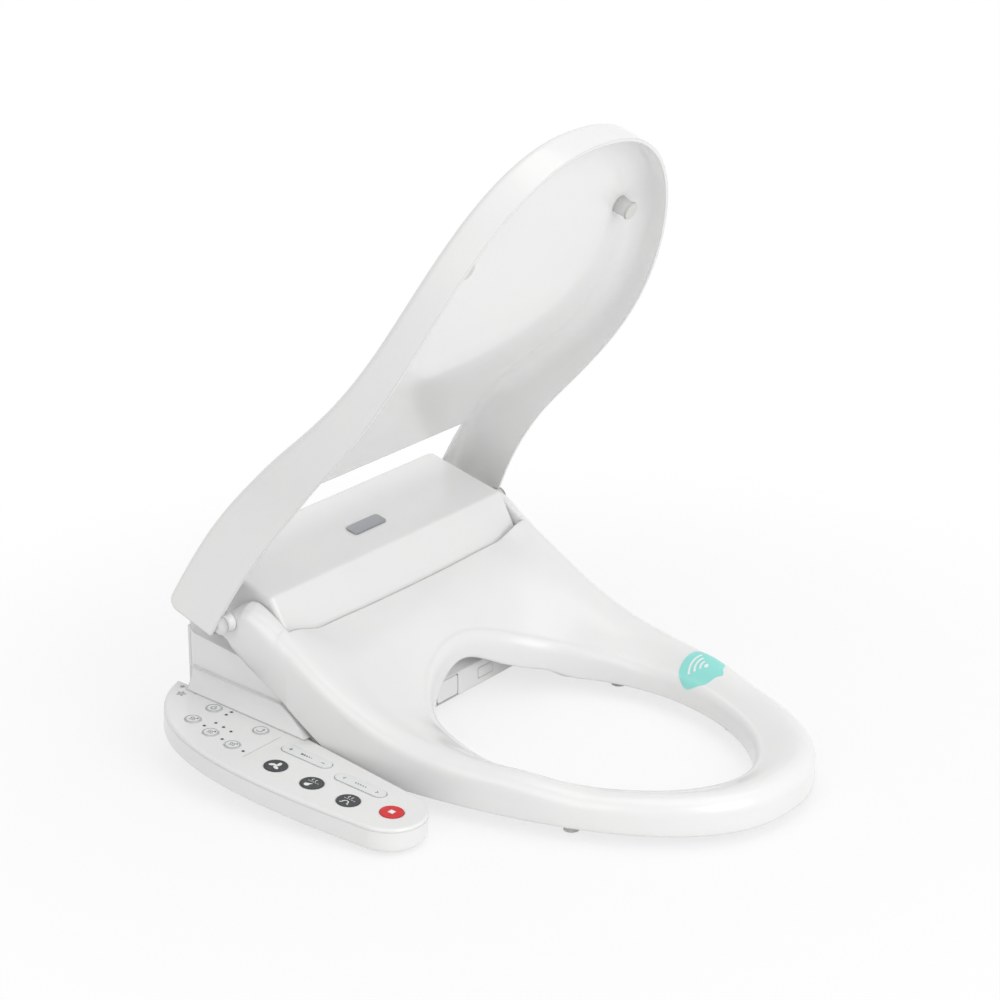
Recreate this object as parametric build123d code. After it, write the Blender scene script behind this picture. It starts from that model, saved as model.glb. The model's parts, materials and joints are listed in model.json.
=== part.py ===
"""Electric bidet seat: housing, control wing, heated seat, lid and what works inside.

Frame: millimetres, +Z up, the user sits facing -Y. The origin is midway between the two
mounting bolts, on the plane of the bowl's rim. The lid stands half open, the seat is down.
"""
import os
from math import cos, exp, log, pi, radians, sin

from build123d import *

# Hinge shared by the seat and the lid
HINGE_Y = -25
HINGE_Z = 121
PIN_RADIUS = 5
RUNNING_GAP = 0.05
LID_OPENING = 70

# Lid, measured forward from the hinge axis with the lid closed
LID_REACH = 463
LID_REAR = -12
LID_BULGE = 170
LID_HALF_WIDTH = 176.5
LID_WAIST = 118
LID_WAIST_HALF_WIDTH = 172.5
LID_REAR_HALF_WIDTH = 193
LID_ROUNDNESS = 2.3
LID_WALL = 3
LID_EDGE_RADIUS = 9
LID_NOTCH_HALF_WIDTH = 161.5
LID_NOTCH_DEPTH = 66
KNUCKLE_RADIUS = 13
KNUCKLE_INNER = 178.5
KNUCKLE_OUTER = 188.5
POST_RADIUS = 8
BUFFER_X = 109
BUFFER_FORWARD = 366
BUFFER_BOTTOM = 44
BUFFER_RADIUS = 7.4
BUFFER_DEPTH = 2

# Seat
SEAT_NOSE = -462
SEAT_SHOULDER = -70
SEAT_HALF_WIDTH = 174
SEAT_ROUNDNESS = 2.3
SEAT_WALL = 3
SEAT_REAR = -76.5
APRON_START = -115
APRON_END = -62
APRON_DIP = 11
FACE_STATIONS = 24
HOLE_CENTRE = -258
HOLE_HALF_WIDTH = 110
HOLE_FRONT = 155
HOLE_REAR = 129
HOLE_FRONT_ROUNDNESS = 1.85
HOLE_REAR_ROUNDNESS = 2.15
RING_CROWN = 40
LIP_HEIGHT = 17
ARCH_FOOT = 20
ARCH_RISE = 31
ARCH_WIDTH = 50
ARM_INNER = 158.5
ARM_OUTER = 169.5
ARM_EYE_RADIUS = 11.5
ARM_EYE_OUTER = 176
ARM_SUNK = 5
PAD_PLACES = [(134, -200), (117, -330), (40, -428)]
PAD_RADIUS = 6.5

# Housing
COVER_HALF_WIDTH = 156.5
COVER_WALL = 3
COVER_PARTING = 93
BADGE_SLOPE = 14.5
HOUSING_REAR = 42
HOUSING_FRONT = -73
BASE_FLOOR = 5
BASE_FRONT = -113
SHOULDER_HALF_WIDTH = 170
SHOULDER_REAR = 36
SHOULDER_REAR_HEIGHT = 98
SHOULDER_FRONT = -36
SHOULDER_FRONT_HEIGHT = 86.4
BASE_FRONT_HEIGHT = 30
BASE_WALL = 3

# Mounting plate
PLATE_HALF_LENGTH = 100
PLATE_HALF_DEPTH = 24
PLATE_THICKNESS = 5
BOLT_SPACING = 140
SLOT_WIDTH = 10.5
SLOT_LENGTH = 44

# Control wing, modelled level and then tipped down towards the user
WING_PIVOT = (-220, -106, 35.5)
WING_SLOPE = 4.4
WING_DEPTH = 22
WING_COVER = 3
WING_WALL = 2.5
KEY_PROUD = 0.5
KEY_GAP = 0.35
LARGE_KEY_RADIUS = 9.7
SMALL_KEY_RADIUS = 6.6
ROCKER_HALF_WIDTH = 6
BOARD_TOP = -9.5

# Nozzle, modelled level and then tipped: its axis runs down towards the user
NOZZLE_POINT = (0, -107, 20.5)
NOZZLE_SLOPE = 20
WAND_RADIUS = 7
WAND_LENGTH = 140
RACK_MODULE = 1.5
PINION_TEETH = 10
PINION_HEIGHT = 12
PINION_TOOTH = 13

PARTS = {}


def block(x0, x1, y0, y1, z0, z1):
    """Box between two corners."""
    return Pos((x0 + x1) / 2, (y0 + y1) / 2, (z0 + z1) / 2) * Box(x1 - x0, y1 - y0, z1 - z0)


def rod(axis, start, length, radius):
    """Cylinder from a start point along X, Y or Z."""
    turn = {"X": Rot(0, 90, 0), "Y": Rot(-90, 0, 0), "Z": Rot(0, 0, 0)}[axis]
    base = (Align.CENTER, Align.CENTER, Align.MIN)
    return Pos(*start) * turn * Cylinder(radius, length, align=base)


def side_prism(outline, half_width):
    """Closed outline in the YZ plane carried across the width."""
    return Pos(-half_width, 0, 0) * extrude(Plane.YZ * make_face(outline), amount=2 * half_width)


def plan_prism(outline, bottom, top):
    """Closed outline in the XY plane carried upwards."""
    return Pos(0, 0, bottom) * extrude(make_face(outline), amount=top - bottom)


def ramp(distance, softness):
    """Zero far below nought, rising one for one far above it, with a soft bend between."""
    return softness * log(1 + exp(distance / softness))


def step(value):
    """Smooth step from 0 to 1."""
    t = min(max(value, 0), 1)
    return t * t * (3 - 2 * t)


def both_sides(shape):
    """A shape and its mirror image across the YZ plane."""
    return shape + mirror(shape, Plane.YZ)


# Lid

def lid_half_width(forward, inset=0):
    """Half width of the lid behind its bulge: a waist, then a flare to the ears."""
    flare = max(LID_WAIST - forward, 0) / (LID_WAIST - LID_REAR)
    swell = step((forward - LID_WAIST) / (LID_BULGE - LID_WAIST))
    wide = LID_WAIST_HALF_WIDTH + (LID_REAR_HALF_WIDTH - LID_WAIST_HALF_WIDTH) * flare ** 1.35
    return wide + (LID_HALF_WIDTH - LID_WAIST_HALF_WIDTH) * swell - inset


def lid_outline(inset, rear):
    """Plan outline: flared rear, waist, and a superellipse round the tip."""
    power = 2 / LID_ROUNDNESS
    stations = [rear, 20, 50, 80, LID_WAIST, 145]
    right = [(lid_half_width(f, inset), HINGE_Y - f) for f in stations]
    for degrees in range(0, 90, 10):
        across = (LID_HALF_WIDTH - inset) * cos(radians(degrees)) ** power
        forward = LID_BULGE + (LID_REACH - inset - LID_BULGE) * sin(radians(degrees)) ** power
        right.append((across, HINGE_Y - forward))
    tip = [(0, HINGE_Y - LID_REACH + inset)]
    left = [(-x, y) for x, y in reversed(right)]
    curve = Spline(*right, *tip, *left)
    return curve + Line(curve @ 1, curve @ 0)


def lid_top(forward):
    """Height of the closed lid's outer face: a long S from the hinge to the tip."""
    return 57 + 124 / (1 + exp((forward - 172) / 56))


def lid_rim(forward):
    """Height of the closed lid's lower rim."""
    return 26.5 + 104 / (1 + exp((forward - 160) / 62))


def lid_profile(drop, below):
    """Side outline between the outer face, lowered by drop, and the rim, lowered by below."""
    stations = [-40, 0, 40, 80, 120, 160, 200, 240, 290, 350, 420, 500]
    upper = Spline(*[(HINGE_Y - f, lid_top(f) - drop) for f in stations])
    lower = Spline(*[(HINGE_Y - f, lid_rim(f) - below) for f in stations])
    return upper + Line(upper @ 1, lower @ 1) + lower + Line(lower @ 0, upper @ 0)


def lid_shell():
    """Deep shell, open below and behind, with a notch round the housing and two knuckles."""
    outer = plan_prism(lid_outline(0, LID_REAR), 0, 220) & side_prism(lid_profile(0, 0), 220)
    edge = outer.edges().sort_by(SortBy.LENGTH)[-2:].sort_by(Axis.Z)[-1]
    outer = fillet(edge, LID_EDGE_RADIUS)
    hollow = plan_prism(lid_outline(LID_WALL, LID_REAR - 20), -10, 220)
    shell = outer - (hollow & side_prism(lid_profile(LID_WALL, 60), 220))
    half = LID_NOTCH_HALF_WIDTH
    shell -= block(-half, half, HINGE_Y - LID_NOTCH_DEPTH, HINGE_Y + 60, 60, 220)
    knuckle_width = KNUCKLE_OUTER - KNUCKLE_INNER
    knuckle = rod("X", (KNUCKLE_INNER, HINGE_Y, HINGE_Z), knuckle_width, KNUCKLE_RADIUS)
    socket = rod("X", (KNUCKLE_INNER - 1, HINGE_Y, HINGE_Z), 9, PIN_RADIUS + RUNNING_GAP)
    post_bottom = BUFFER_BOTTOM + BUFFER_DEPTH
    post_height = lid_top(BUFFER_FORWARD) - 1 - post_bottom
    post = rod("Z", (BUFFER_X, HINGE_Y - BUFFER_FORWARD, post_bottom), post_height, POST_RADIUS)
    return shell + both_sides(knuckle) + both_sides(post) - both_sides(socket)


def open_lid(shape):
    """Turn a piece of the closed lid up to the angle at which it stands."""
    return shape.rotate(Axis((0, HINGE_Y, HINGE_Z), (1, 0, 0)), -LID_OPENING)


def make_lid():
    """Lid shell and its rubber buffers."""
    PARTS["lid_shell"] = open_lid(lid_shell())
    buffer = rod("Z", (BUFFER_X, HINGE_Y - BUFFER_FORWARD, BUFFER_BOTTOM), BUFFER_DEPTH, BUFFER_RADIUS)
    PARTS["lid_buffers"] = open_lid(both_sides(buffer))


# Seat

def seat_crown(y):
    """Height of the seat's outer crown: level round the ring, climbing to the arms."""
    return RING_CROWN + 0.66 * ramp(y + 193, 30)


def seat_underside(y):
    """Height of the seat's lower edge: almost level, then climbing under the arms."""
    return 9 + 0.02 * (y - SEAT_NOSE) + 0.68 * ramp(y + 140.7, 10)


def arch_height(x):
    """Height that the lip gains at the back, where the hole's edge arches over the nozzle."""
    return ARCH_RISE * exp(-(x / ARCH_WIDTH) ** 2)


def lip_height(x, y):
    """Height of the lip round the hole."""
    level = LIP_HEIGHT + 9 + 0.02 * (y - SEAT_NOSE)
    return level + arch_height(x) if y > HOLE_CENTRE else level


def seat_outline(inset):
    """Plan outline: straight arms, then a superellipse round the nose."""
    power = 2 / SEAT_ROUNDNESS
    right = [(SEAT_HALF_WIDTH - inset, 40), (SEAT_HALF_WIDTH - inset, -15)]
    for degrees in range(0, 90, 9):
        across = (SEAT_HALF_WIDTH - inset) * cos(radians(degrees)) ** power
        ahead = (SEAT_SHOULDER - SEAT_NOSE - inset) * sin(radians(degrees)) ** power
        right.append((across, SEAT_SHOULDER - ahead))
    tip = [(0, SEAT_NOSE + inset)]
    left = [(-x, y) for x, y in reversed(right)]
    curve = Spline(*right, *tip, *left)
    return curve + Line(curve @ 1, curve @ 0)


def hole_outline(inset):
    """Egg-shaped opening, blunter at the rear than at the front."""
    points = []
    for degrees in range(0, 360, 15):
        across, along = cos(radians(degrees)), sin(radians(degrees))
        front = along < 0
        roundness = HOLE_FRONT_ROUNDNESS if front else HOLE_REAR_ROUNDNESS
        reach = HOLE_FRONT if front else HOLE_REAR
        x = (HOLE_HALF_WIDTH + inset) * abs(across) ** (2 / roundness)
        y = (reach + inset) * abs(along) ** (2 / roundness)
        points.append((x if across > 0 else -x, HOLE_CENTRE - y if front else HOLE_CENTRE + y))
    return Spline(*points, periodic=True)


def hole_reach(direction):
    """Distance from the hole's centre to its edge in a direction given in degrees."""
    across, along = abs(cos(radians(direction))), sin(radians(direction))
    power = HOLE_FRONT_ROUNDNESS if along < 0 else HOLE_REAR_ROUNDNESS
    length = HOLE_FRONT if along < 0 else HOLE_REAR
    return ((across / HOLE_HALF_WIDTH) ** power + (abs(along) / length) ** power) ** (-1 / power)


def edge_reach(direction, inset):
    """Distance from the hole's centre to the seat's edge, found by halving."""
    across, along = abs(cos(radians(direction))), sin(radians(direction))
    low, high = 0, 500
    for _ in range(40):
        middle = (low + high) / 2
        ahead = max(SEAT_SHOULDER - HOLE_CENTRE - middle * along, 0) / (SEAT_SHOULDER - SEAT_NOSE - inset)
        round_part = (middle * across / (SEAT_HALF_WIDTH - inset)) ** SEAT_ROUNDNESS + ahead ** SEAT_ROUNDNESS
        behind = (max(middle * along, 0) / (APRON_END - HOLE_CENTRE)) ** 40
        low, high = (middle, high) if round_part + behind < 1 else (low, middle)
    return low


def crown_height(y):
    """Height of the ring's own crown line, which falls behind the arms' crown towards the apron's end."""
    return seat_crown(y) - APRON_DIP * step((y - APRON_START) / (APRON_END - APRON_START))


def face_line(inset, drop, lowered):
    """Half of a line round the seat's upper face, from the nose to the rear."""
    points = []
    for k in range(FACE_STATIONS + 1):
        direction = 180 * k / FACE_STATIONS - 90
        if inset is None:
            reach = hole_reach(direction) - 4
        else:
            reach = edge_reach(direction, inset)
        x, y = reach * cos(radians(direction)), HOLE_CENTRE + reach * sin(radians(direction))
        z = lip_height(x, y) if inset is None else crown_height(y)
        points.append((x, y, z - drop - lowered))
    return Spline(*points, tangents=[(1, 0, 0), (-1, 0, 0)])


def above_seat_face(lowered):
    """Everything above the right half of the seat's upper face: dish, crown and rounded edge."""
    steps = ((None, 0), (15, 0), (5, 3.5), (-10, 24))
    lines = [face_line(inset, drop, lowered) for inset, drop in steps]
    return [Solid.extrude(Face.make_surface_from_curves(first, second), (0, 0, 160))
            for first, second in zip(lines, lines[1:])]


def above_underside(raised):
    """Side outline of everything above the seat's lower edge, raised by the given amount."""
    stations = [SEAT_NOSE - 10, -400, -300, -220, -180, -160, -145, -130, -110, -80, -40, 30]
    lower = Spline(*[(y, seat_underside(y) + raised) for y in stations])
    return lower + Polyline(lower @ 1, (30, 260), (SEAT_NOSE - 10, 260), lower @ 0)


def arm_profile():
    """Side outline of an arm: a bar that leaves the crown, a rounded hump and end, and a slanted foot."""
    risers = [(-140, 6), (-118, 4.5), (-96, 2), (-78, 0.5), (-62, 0.3)]
    hump = [(-50, 132.6), (-40, 136.6)]
    crown = Spline(*[(y, seat_crown(y) - sunk) for y, sunk in risers], *hump)
    back = ThreePointArc(crown @ 1, (-19.5, 128.5), (-12, 114))
    heel = ThreePointArc(back @ 1, (-13.2, 106.5), (-19, 101.6))
    steps = ((-45, 2), (-68, 4), (-90, ARM_SUNK), (-112, ARM_SUNK))
    foot = [(y, seat_underside(y) + sunk) for y, sunk in steps]
    return crown + back + heel + Polyline(heel @ 1, *foot, tuple(crown @ 0)[:2])


def nozzle_arch():
    """Space under the hole's rear edge through which the nozzle comes out."""
    stations = [-90, -60, -30, 0, 30, 60, 90]
    top = Spline(*[(x, ARCH_FOOT + arch_height(x)) for x in stations])
    outline = top + Polyline(top @ 1, (90, -20), (-90, -20), top @ 0)
    return Pos(0, -60, 0) * extrude(Plane.XZ * make_face(outline), amount=130)


def seat_half(inset, raised):
    """Right half of the ring and apron, with its walls moved inwards."""
    body = plan_prism(seat_outline(inset), -5, 175) - plan_prism(hole_outline(inset), -6, 176)
    body &= block(0, 300, -600, SEAT_REAR - inset, -10, 250)
    body &= side_prism(above_underside(raised), 200)
    for cutter in above_seat_face(inset):
        body -= cutter
    return body


def make_seat():
    """Heated seat: top moulding, bottom cover, heater foil, sensor and buffers."""
    cavity = seat_half(SEAT_WALL, -30)
    shell = seat_half(0, 0) - cavity - nozzle_arch()
    arm = extrude(Plane.YZ * make_face(arm_profile()), amount=ARM_OUTER - ARM_INNER)
    arm = Pos(ARM_INNER, 0, 0) * arm
    eye_width = ARM_EYE_OUTER - ARM_INNER
    arm += rod("X", (ARM_INNER, HINGE_Y, HINGE_Z), eye_width, ARM_EYE_RADIUS)
    bore = rod("X", (ARM_INNER - 5, HINGE_Y, HINGE_Z), eye_width + 10, PIN_RADIUS + RUNNING_GAP)
    PARTS["seat_top"] = both_sides(shell + (arm - cavity) - bore)
    closing = side_prism(above_underside(0), 200) - side_prism(above_underside(SEAT_WALL), 200)
    gap = SEAT_WALL + 0.2
    lining = plan_prism(seat_outline(gap), -5, 200) - plan_prism(hole_outline(gap), -6, 201)
    lining -= block(-300, 300, -118, 60, -6, 201) + block(-90, 90, -190, 60, -6, 201)
    PARTS["seat_bottom_cover"] = lining & closing
    foil = plan_prism(seat_outline(16), -5, 200) - plan_prism(hole_outline(14), -6, 201)
    foil -= block(-300, 300, -190, 60, -6, 201)
    level = side_prism(above_underside(7), 200) - side_prism(above_underside(7.6), 200)
    PARTS["seat_heater_foil"] = foil & level
    sensor_bottom = seat_underside(-240) + 8.2
    PARTS["seat_sensor"] = block(118, 144, -262, -226, sensor_bottom, sensor_bottom + 3.3)
    feet = [rod("Z", (x, y, 0), seat_underside(y), PAD_RADIUS) for x, y in PAD_PLACES]
    pads = both_sides(feet[0]) + both_sides(feet[1]) + both_sides(feet[2])
    PARTS["seat_pads"] = pads - PARTS["seat_bottom_cover"]


# Housing

def cover_outline(inset):
    """Side outline of the top cover: slanted front, sloping top and rounded back."""
    front = [(HOUSING_FRONT + inset, COVER_PARTING), (HOUSING_FRONT - 1.5 + inset, 102)]
    crest = (-53 + inset * 1.2, 141.5 - inset)
    back = HOUSING_REAR - inset
    rear = [(24 - inset * 0.4, 161.5 - inset), (back, 138), (back, COVER_PARTING)]
    curve = ThreePointArc(rear[0], (37 - inset, 154 - inset * 0.6), rear[1])
    return Polyline(*front, crest, rear[0]) + curve + Polyline(rear[1], rear[2], front[0])


def make_top_cover():
    """Top cover of the housing, with a hole at each end for the hinge pins, and its bare plate."""
    outer = side_prism(cover_outline(0), COVER_HALF_WIDTH)
    ridge = outer.edges().filter_by(Axis.X).sort_by(Axis.Z)[-2]
    ends = [e for face in outer.faces().filter_by(Axis.X) for e in face.edges() if e.center().Z > 110]
    outer = fillet(ends + [ridge], 4)
    inner = side_prism(cover_outline(COVER_WALL), COVER_HALF_WIDTH - COVER_WALL)
    half = COVER_HALF_WIDTH - COVER_WALL
    front, back = HOUSING_FRONT + COVER_WALL, HOUSING_REAR - COVER_WALL
    inner += block(-half, half, front, back, COVER_PARTING - 5, COVER_PARTING + 1)
    pins = rod("X", (-200, HINGE_Y, HINGE_Z), 400, PIN_RADIUS + 1)
    PARTS["top_cover"] = outer - inner - pins
    plate = fillet(Box(42, 13, 1.4).edges().filter_by(Axis.Z), 3)
    plate = Pos(2, -23, 149.85) * Rot(BADGE_SLOPE, 0, 0) * Pos(0, 0, 0.4) * plate
    PARTS["badge_plate"] = plate - PARTS["top_cover"]


def base_outline(inset):
    """Side outline of the base: sloping shoulders behind, a nose that runs under the seat's apron."""
    rear, front = SHOULDER_REAR - inset, BASE_FRONT + inset
    return Polyline(
        (rear, BASE_FLOOR + inset), (rear, SHOULDER_REAR_HEIGHT - inset),
        (SHOULDER_FRONT + inset * 0.4, SHOULDER_FRONT_HEIGHT - inset), (front, BASE_FRONT_HEIGHT - inset),
        (front, 8 + inset), (front + 6, BASE_FLOOR + inset), close=True)


def wing_ledge():
    """Ledge on the base's left side that runs down to the control wing in a hollow curve."""
    hollow = ThreePointArc((46.5, 20), (45.3, 6), (41, 0.15))
    outline = hollow + Polyline(hollow @ 1, (51, 0.15), (51, 20), hollow @ 0)
    return Pos(0, 132, 0) * extrude(Plane.XZ * make_face(outline), amount=132)


def make_base():
    """Base tray with open top, shoulders, bolt pockets and the nozzle opening in its nose."""
    shoulders = side_prism(base_outline(0), SHOULDER_HALF_WIDTH)
    corners = shoulders.edges().filter_by(Axis.Z).sort_by(Axis.Y)[-2:]
    shoulders = fillet(corners, 16)
    half = COVER_HALF_WIDTH
    middle = block(-half, half, HOUSING_FRONT + 0.5, HOUSING_REAR, BASE_FLOOR, COVER_PARTING)
    inside = side_prism(base_outline(BASE_WALL), SHOULDER_HALF_WIDTH - BASE_WALL)
    half -= BASE_WALL
    floor = BASE_FLOOR + BASE_WALL
    inside += block(-half, half, HOUSING_FRONT + 3.5, HOUSING_REAR - 3, floor, COVER_PARTING + 1)
    ledge = tip_wing(wing_ledge()) & side_prism(base_outline(0), 200)
    tray = shoulders + middle + ledge - inside
    room = COVER_HALF_WIDTH + 0.3
    tray -= block(-room, room, HOUSING_FRONT - 1, HOUSING_REAR + 1, COVER_PARTING, SHOULDER_REAR_HEIGHT + 1)
    for x in (-BOLT_SPACING / 2, BOLT_SPACING / 2):
        tray -= block(x - 28, x + 28, -12, 12, BASE_FLOOR - 1, floor + 1)
    tray -= block(-15, 15, BASE_FRONT - 5, BASE_FRONT + BASE_WALL + 3, 8.8, 28.8)
    tray -= block(43.5, 64.5, BASE_FRONT - 1, BASE_FRONT + 4, 13.5, 23.5)
    tray -= rod("X", (SHOULDER_HALF_WIDTH - 6, 8, 40), 12, 12.2)
    tray -= rod("Y", (135, HOUSING_REAR - 6, 40), 12, 7.1)
    ribs = [(-112, -106), (-62, -56)]
    for x0, x1 in ribs:
        tray += block(x0, x1, -50, 4, floor - 0.5, 38)
    for x in (-130, 96):
        tray += block(x, x + 8, 27, 34, floor - 0.5, 62)
    PARTS["base_tray"] = tray
    pads = [rod("Z", (x, y, 0), BASE_FLOOR, 9) for x, y in ((128, 8), (128, -84))]
    PARTS["base_pads"] = both_sides(pads[0]) + both_sides(pads[1])


def make_mounting_plate():
    """Plate that is bolted to the bowl, slotted for different bolt spacings."""
    length, depth = PLATE_HALF_LENGTH, PLATE_HALF_DEPTH
    plate = block(-length, length, -depth, depth, 0, PLATE_THICKNESS)
    plate = fillet(plate.edges().filter_by(Axis.Z), 8)
    for x in (-BOLT_SPACING / 2, BOLT_SPACING / 2):
        slot = extrude(SlotOverall(SLOT_LENGTH, SLOT_WIDTH), amount=PLATE_THICKNESS + 2)
        plate -= Pos(x, 0, -1) * slot
    PARTS["mounting_plate"] = plate


def make_hinges():
    """Hinge posts, pins and the two slow-close dampers."""
    for name, side in (("left", -1), ("right", 1)):
        post = block(128, 150, HINGE_Y - 14, HINGE_Y + 14, BASE_FLOOR + BASE_WALL, HINGE_Z)
        post += rod("X", (128, HINGE_Y, HINGE_Z), 22, 14)
        post -= rod("X", (120, HINGE_Y, HINGE_Z), 40, PIN_RADIUS)
        pin = rod("X", (128, HINGE_Y, HINGE_Z), 58, PIN_RADIUS)
        damper = rod("X", (94, HINGE_Y, HINGE_Z), 34, 11) + rod("X", (99, HINGE_Y, HINGE_Z), 4, 13)
        owner = "seat_damper" if side < 0 else "lid_damper"
        pieces = {f"hinge_post_{name}": post, f"hinge_pin_{name}": pin, owner: damper}
        for node, shape in pieces.items():
            PARTS[node] = shape if side > 0 else mirror(shape, Plane.YZ)


# Water

def hose(points, radii, radius):
    """Hose with straight runs and tangent bends."""
    path = FilletPolyline(*points, radius=radii)
    return sweep(Plane(path @ 0, z_dir=path % 0) * Circle(radius), path)


def make_water():
    """Inlet, valve, tank with heater, diverter and the hoses between them."""
    fitting = rod("X", (152, 8, 40), 36, 10.48) + rod("X", (SHOULDER_HALF_WIDTH, 8, 40), 4, 14)
    fitting = fitting - rod("X", (150, 8, 40), 60, 6.5)
    PARTS["inlet_fitting"] = fitting
    PARTS["inlet_filter"] = rod("X", (160, 8, 40), 22, 6.2) - rod("X", (162, 8, 40), 30, 4.6)
    valve = block(112, 152, -8, 28, 28, 54) + rod("Z", (130, 8, 54), 26, 11)
    PARTS["inlet_valve"] = valve - rod("X", (111, 20, 36), 5, 4)
    tank = block(-118, -50, -52, 6, 38, 104)
    tank = fillet(tank.edges(), 8)
    tank -= fillet(block(-115, -53, -49, 3, 41, 101).edges(), 5)
    port = (-84, -22, 103)
    tank += rod("Z", port, 9, 6)
    tank -= rod("Z", (port[0], port[1], 95), 30, 4.2)
    tank -= rod("X", (-56, -22, 60), 10, 4.2)
    PARTS["heater_tank"] = tank
    bends = [(-100, -10, 101), (-100, -10, 50), (-72, -10, 50), (-72, -10, 101)]
    element = FilletPolyline(*bends, radius=13)
    PARTS["tank_heater"] = sweep(Plane(element @ 0, z_dir=element % 0) * Circle(4), element)
    PARTS["diverter_valve"] = block(-14, 14, 8, 28, 98, 122) - rod("X", (-20, 18, 112), 12, 4.2)
    cold = [(115, 20, 36), (98, 20, 36), (98, 20, 20), (-38, 20, 20), (-38, -22, 20), (-38, -22, 60),
            (-55, -22, 60)]
    PARTS["cold_hose"] = hose(cold, [7, 7, 9, 9, 9], 4)
    warm = [(-84, -22, 98), (-84, -22, 132), (-84, 18, 132), (-40, 18, 132), (-40, 18, 112),
            (-15, 18, 112)]
    PARTS["warm_hose"] = hose(warm, [10, 10, 9, 9], 4)


# Nozzle

def tip_nozzle(shape):
    """Place a piece that was modelled level, with its axis along -Y from the nozzle's point."""
    return Pos(*NOZZLE_POINT) * Rot(NOZZLE_SLOPE, 0, 0) * shape


def gear_tooth(low, high, root, tip, width):
    """Straight-sided tooth: half widths at root and tip, both heights, and its width along X."""
    outline = Polyline((-low, root), (low, root), (high, tip), (-high, tip), close=True)
    return extrude(Plane.YZ * make_face(outline), amount=width)


def make_nozzle():
    """Cradle, wand with rack, spray tip, gate, motor and drive pinion."""
    pitch = pi * RACK_MODULE
    pitch_radius = RACK_MODULE * PINION_TEETH / 2
    pinion_y = 8 + PINION_TOOTH * pitch
    channel = WAND_RADIUS + 0.4
    cradle = block(-12, 17.5, 4, 104, -10.5, 2) + block(17.5, 21, 56, 84, -10.5, 20)
    cradle -= rod("Y", (0, -5, 0), 150, channel) + block(-channel, 20, -5, 150, 0, 40)
    cradle += block(17.5, 21, 56, 84, 0, 20)
    cradle -= rod("X", (10, pinion_y, PINION_HEIGHT), 15, 2.05)
    legs = block(-8, 8, -36, -28, BASE_FLOOR + BASE_WALL, 37)
    PARTS["nozzle_cradle"] = tip_nozzle(cradle) + legs
    rack_line = PINION_HEIGHT - pitch_radius
    wand = rod("Y", (0, 5, 0), WAND_LENGTH - 5, WAND_RADIUS)
    wand += block(5, 15.5, 54, WAND_LENGTH - 2, 1.0, rack_line - 1.1)
    tooth = gear_tooth(0.30 * pitch, 0.13 * pitch, -1.2, 1.2, 6)
    for k in range(10, 28):
        wand += Pos(9.5, 8 + k * pitch, rack_line) * tooth
    PARTS["nozzle_wand"] = tip_nozzle(wand)
    head = rod("Y", (0, 0, 0), 5, WAND_RADIUS - 0.6) - rod("Z", (0, 2.5, 3), 8, 1.2)
    PARTS["nozzle_tip"] = tip_nozzle(head)
    gate = Pos(0, BASE_FRONT + 0.8, 19.2) * fillet(Box(28.4, 1.8, 18.4).edges().filter_by(Axis.Y), 2)
    stem = tip_nozzle(rod("Y", (0, -6.2, 0), 6.2, 3))
    stem -= block(-9, 9, BASE_FRONT - 20, BASE_FRONT + 0.5, 0, 60)
    PARTS["nozzle_gate"] = gate + stem
    PARTS["nozzle_motor"] = tip_nozzle(rod("X", (21, pinion_y, PINION_HEIGHT), 17, 10))
    tooth = gear_tooth(0.27 * pitch, 0.11 * pitch, pitch_radius - 1.3, pitch_radius + 0.9, 5.4)
    pinion = rod("X", (9.8, 0, 0), 5.4, pitch_radius - 1.2) + rod("X", (15.2, 0, 0), 5.8, 2)
    for k in range(PINION_TEETH):
        pinion += Rot(360 * (k + 0.5) / PINION_TEETH, 0, 0) * Pos(9.8, 0, 0) * tooth
    PARTS["drive_pinion"] = tip_nozzle(Pos(0, pinion_y, PINION_HEIGHT) * pinion)


# Air

def make_air():
    """Dryer blower with heater and duct, and the deodoriser."""
    centre = (-8, 66)
    shell = rod("X", (40, *centre), 28, 33) + block(41, 67, BASE_FRONT + 3.2, -16, 11.5, 25.5)
    shell += block(41, 67, -32, -16, 11.5, 50)
    shell -= rod("X", (43, *centre), 22, 30) + rod("X", (36, *centre), 10, 14)
    shell -= block(43.5, 64.5, BASE_FRONT, -18, 13.5, 23.5) + block(43.5, 64.5, -29.5, -18.5, 13.5, 60)
    shell -= rod("X", (60, *centre), 10, 2.4)
    PARTS["blower_housing"] = shell
    hub = rod("X", (45, *centre), 18, 7) + rod("X", (45, *centre), 1.5, 26)
    blade = block(46, 62, 17, 25, -0.8, 0.8)
    for k in range(11):
        hub += Pos(0, *centre) * Rot(360 * k / 11, 0, 0) * blade
    PARTS["blower_impeller"] = hub - rod("X", (50, *centre), 20, 2.05)
    motor = rod("X", (68, *centre), 22, 17) + rod("X", (52, *centre), 16, 2)
    PARTS["blower_motor"] = motor
    coil = [block(46, 62, y, y + 1.6, 13.5, 20) for y in range(-96, -44, 10)]
    PARTS["dryer_heater"] = coil[0] + coil[1] + coil[2] + coil[3] + coil[4] + coil[5]
    case = block(-120, -58, 10, 28, 64, 104)
    case -= rod("Y", (-78, 12.5, 84), 20, 17.5) + block(-118, -97, 12.5, 29, 66, 102)
    case -= rod("Y", (-78, 8, 84), 20, 2.05)
    PARTS["deodoriser_case"] = case
    fan = rod("Y", (-78, 15, 84), 9, 5) + rod("Y", (-78, 10.5, 84), 5, 2)
    vane = block(4, 15.8, 16, 23, -0.7, 0.7)
    for k in range(7):
        fan += Pos(-78, 0, 84) * Rot(0, 360 * k / 7, 0) * vane
    PARTS["deodoriser_fan"] = fan
    PARTS["carbon_filter"] = block(-117.5, -97.5, 13, 27.5, 66.5, 101.5)


# Electronics in the housing

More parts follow.
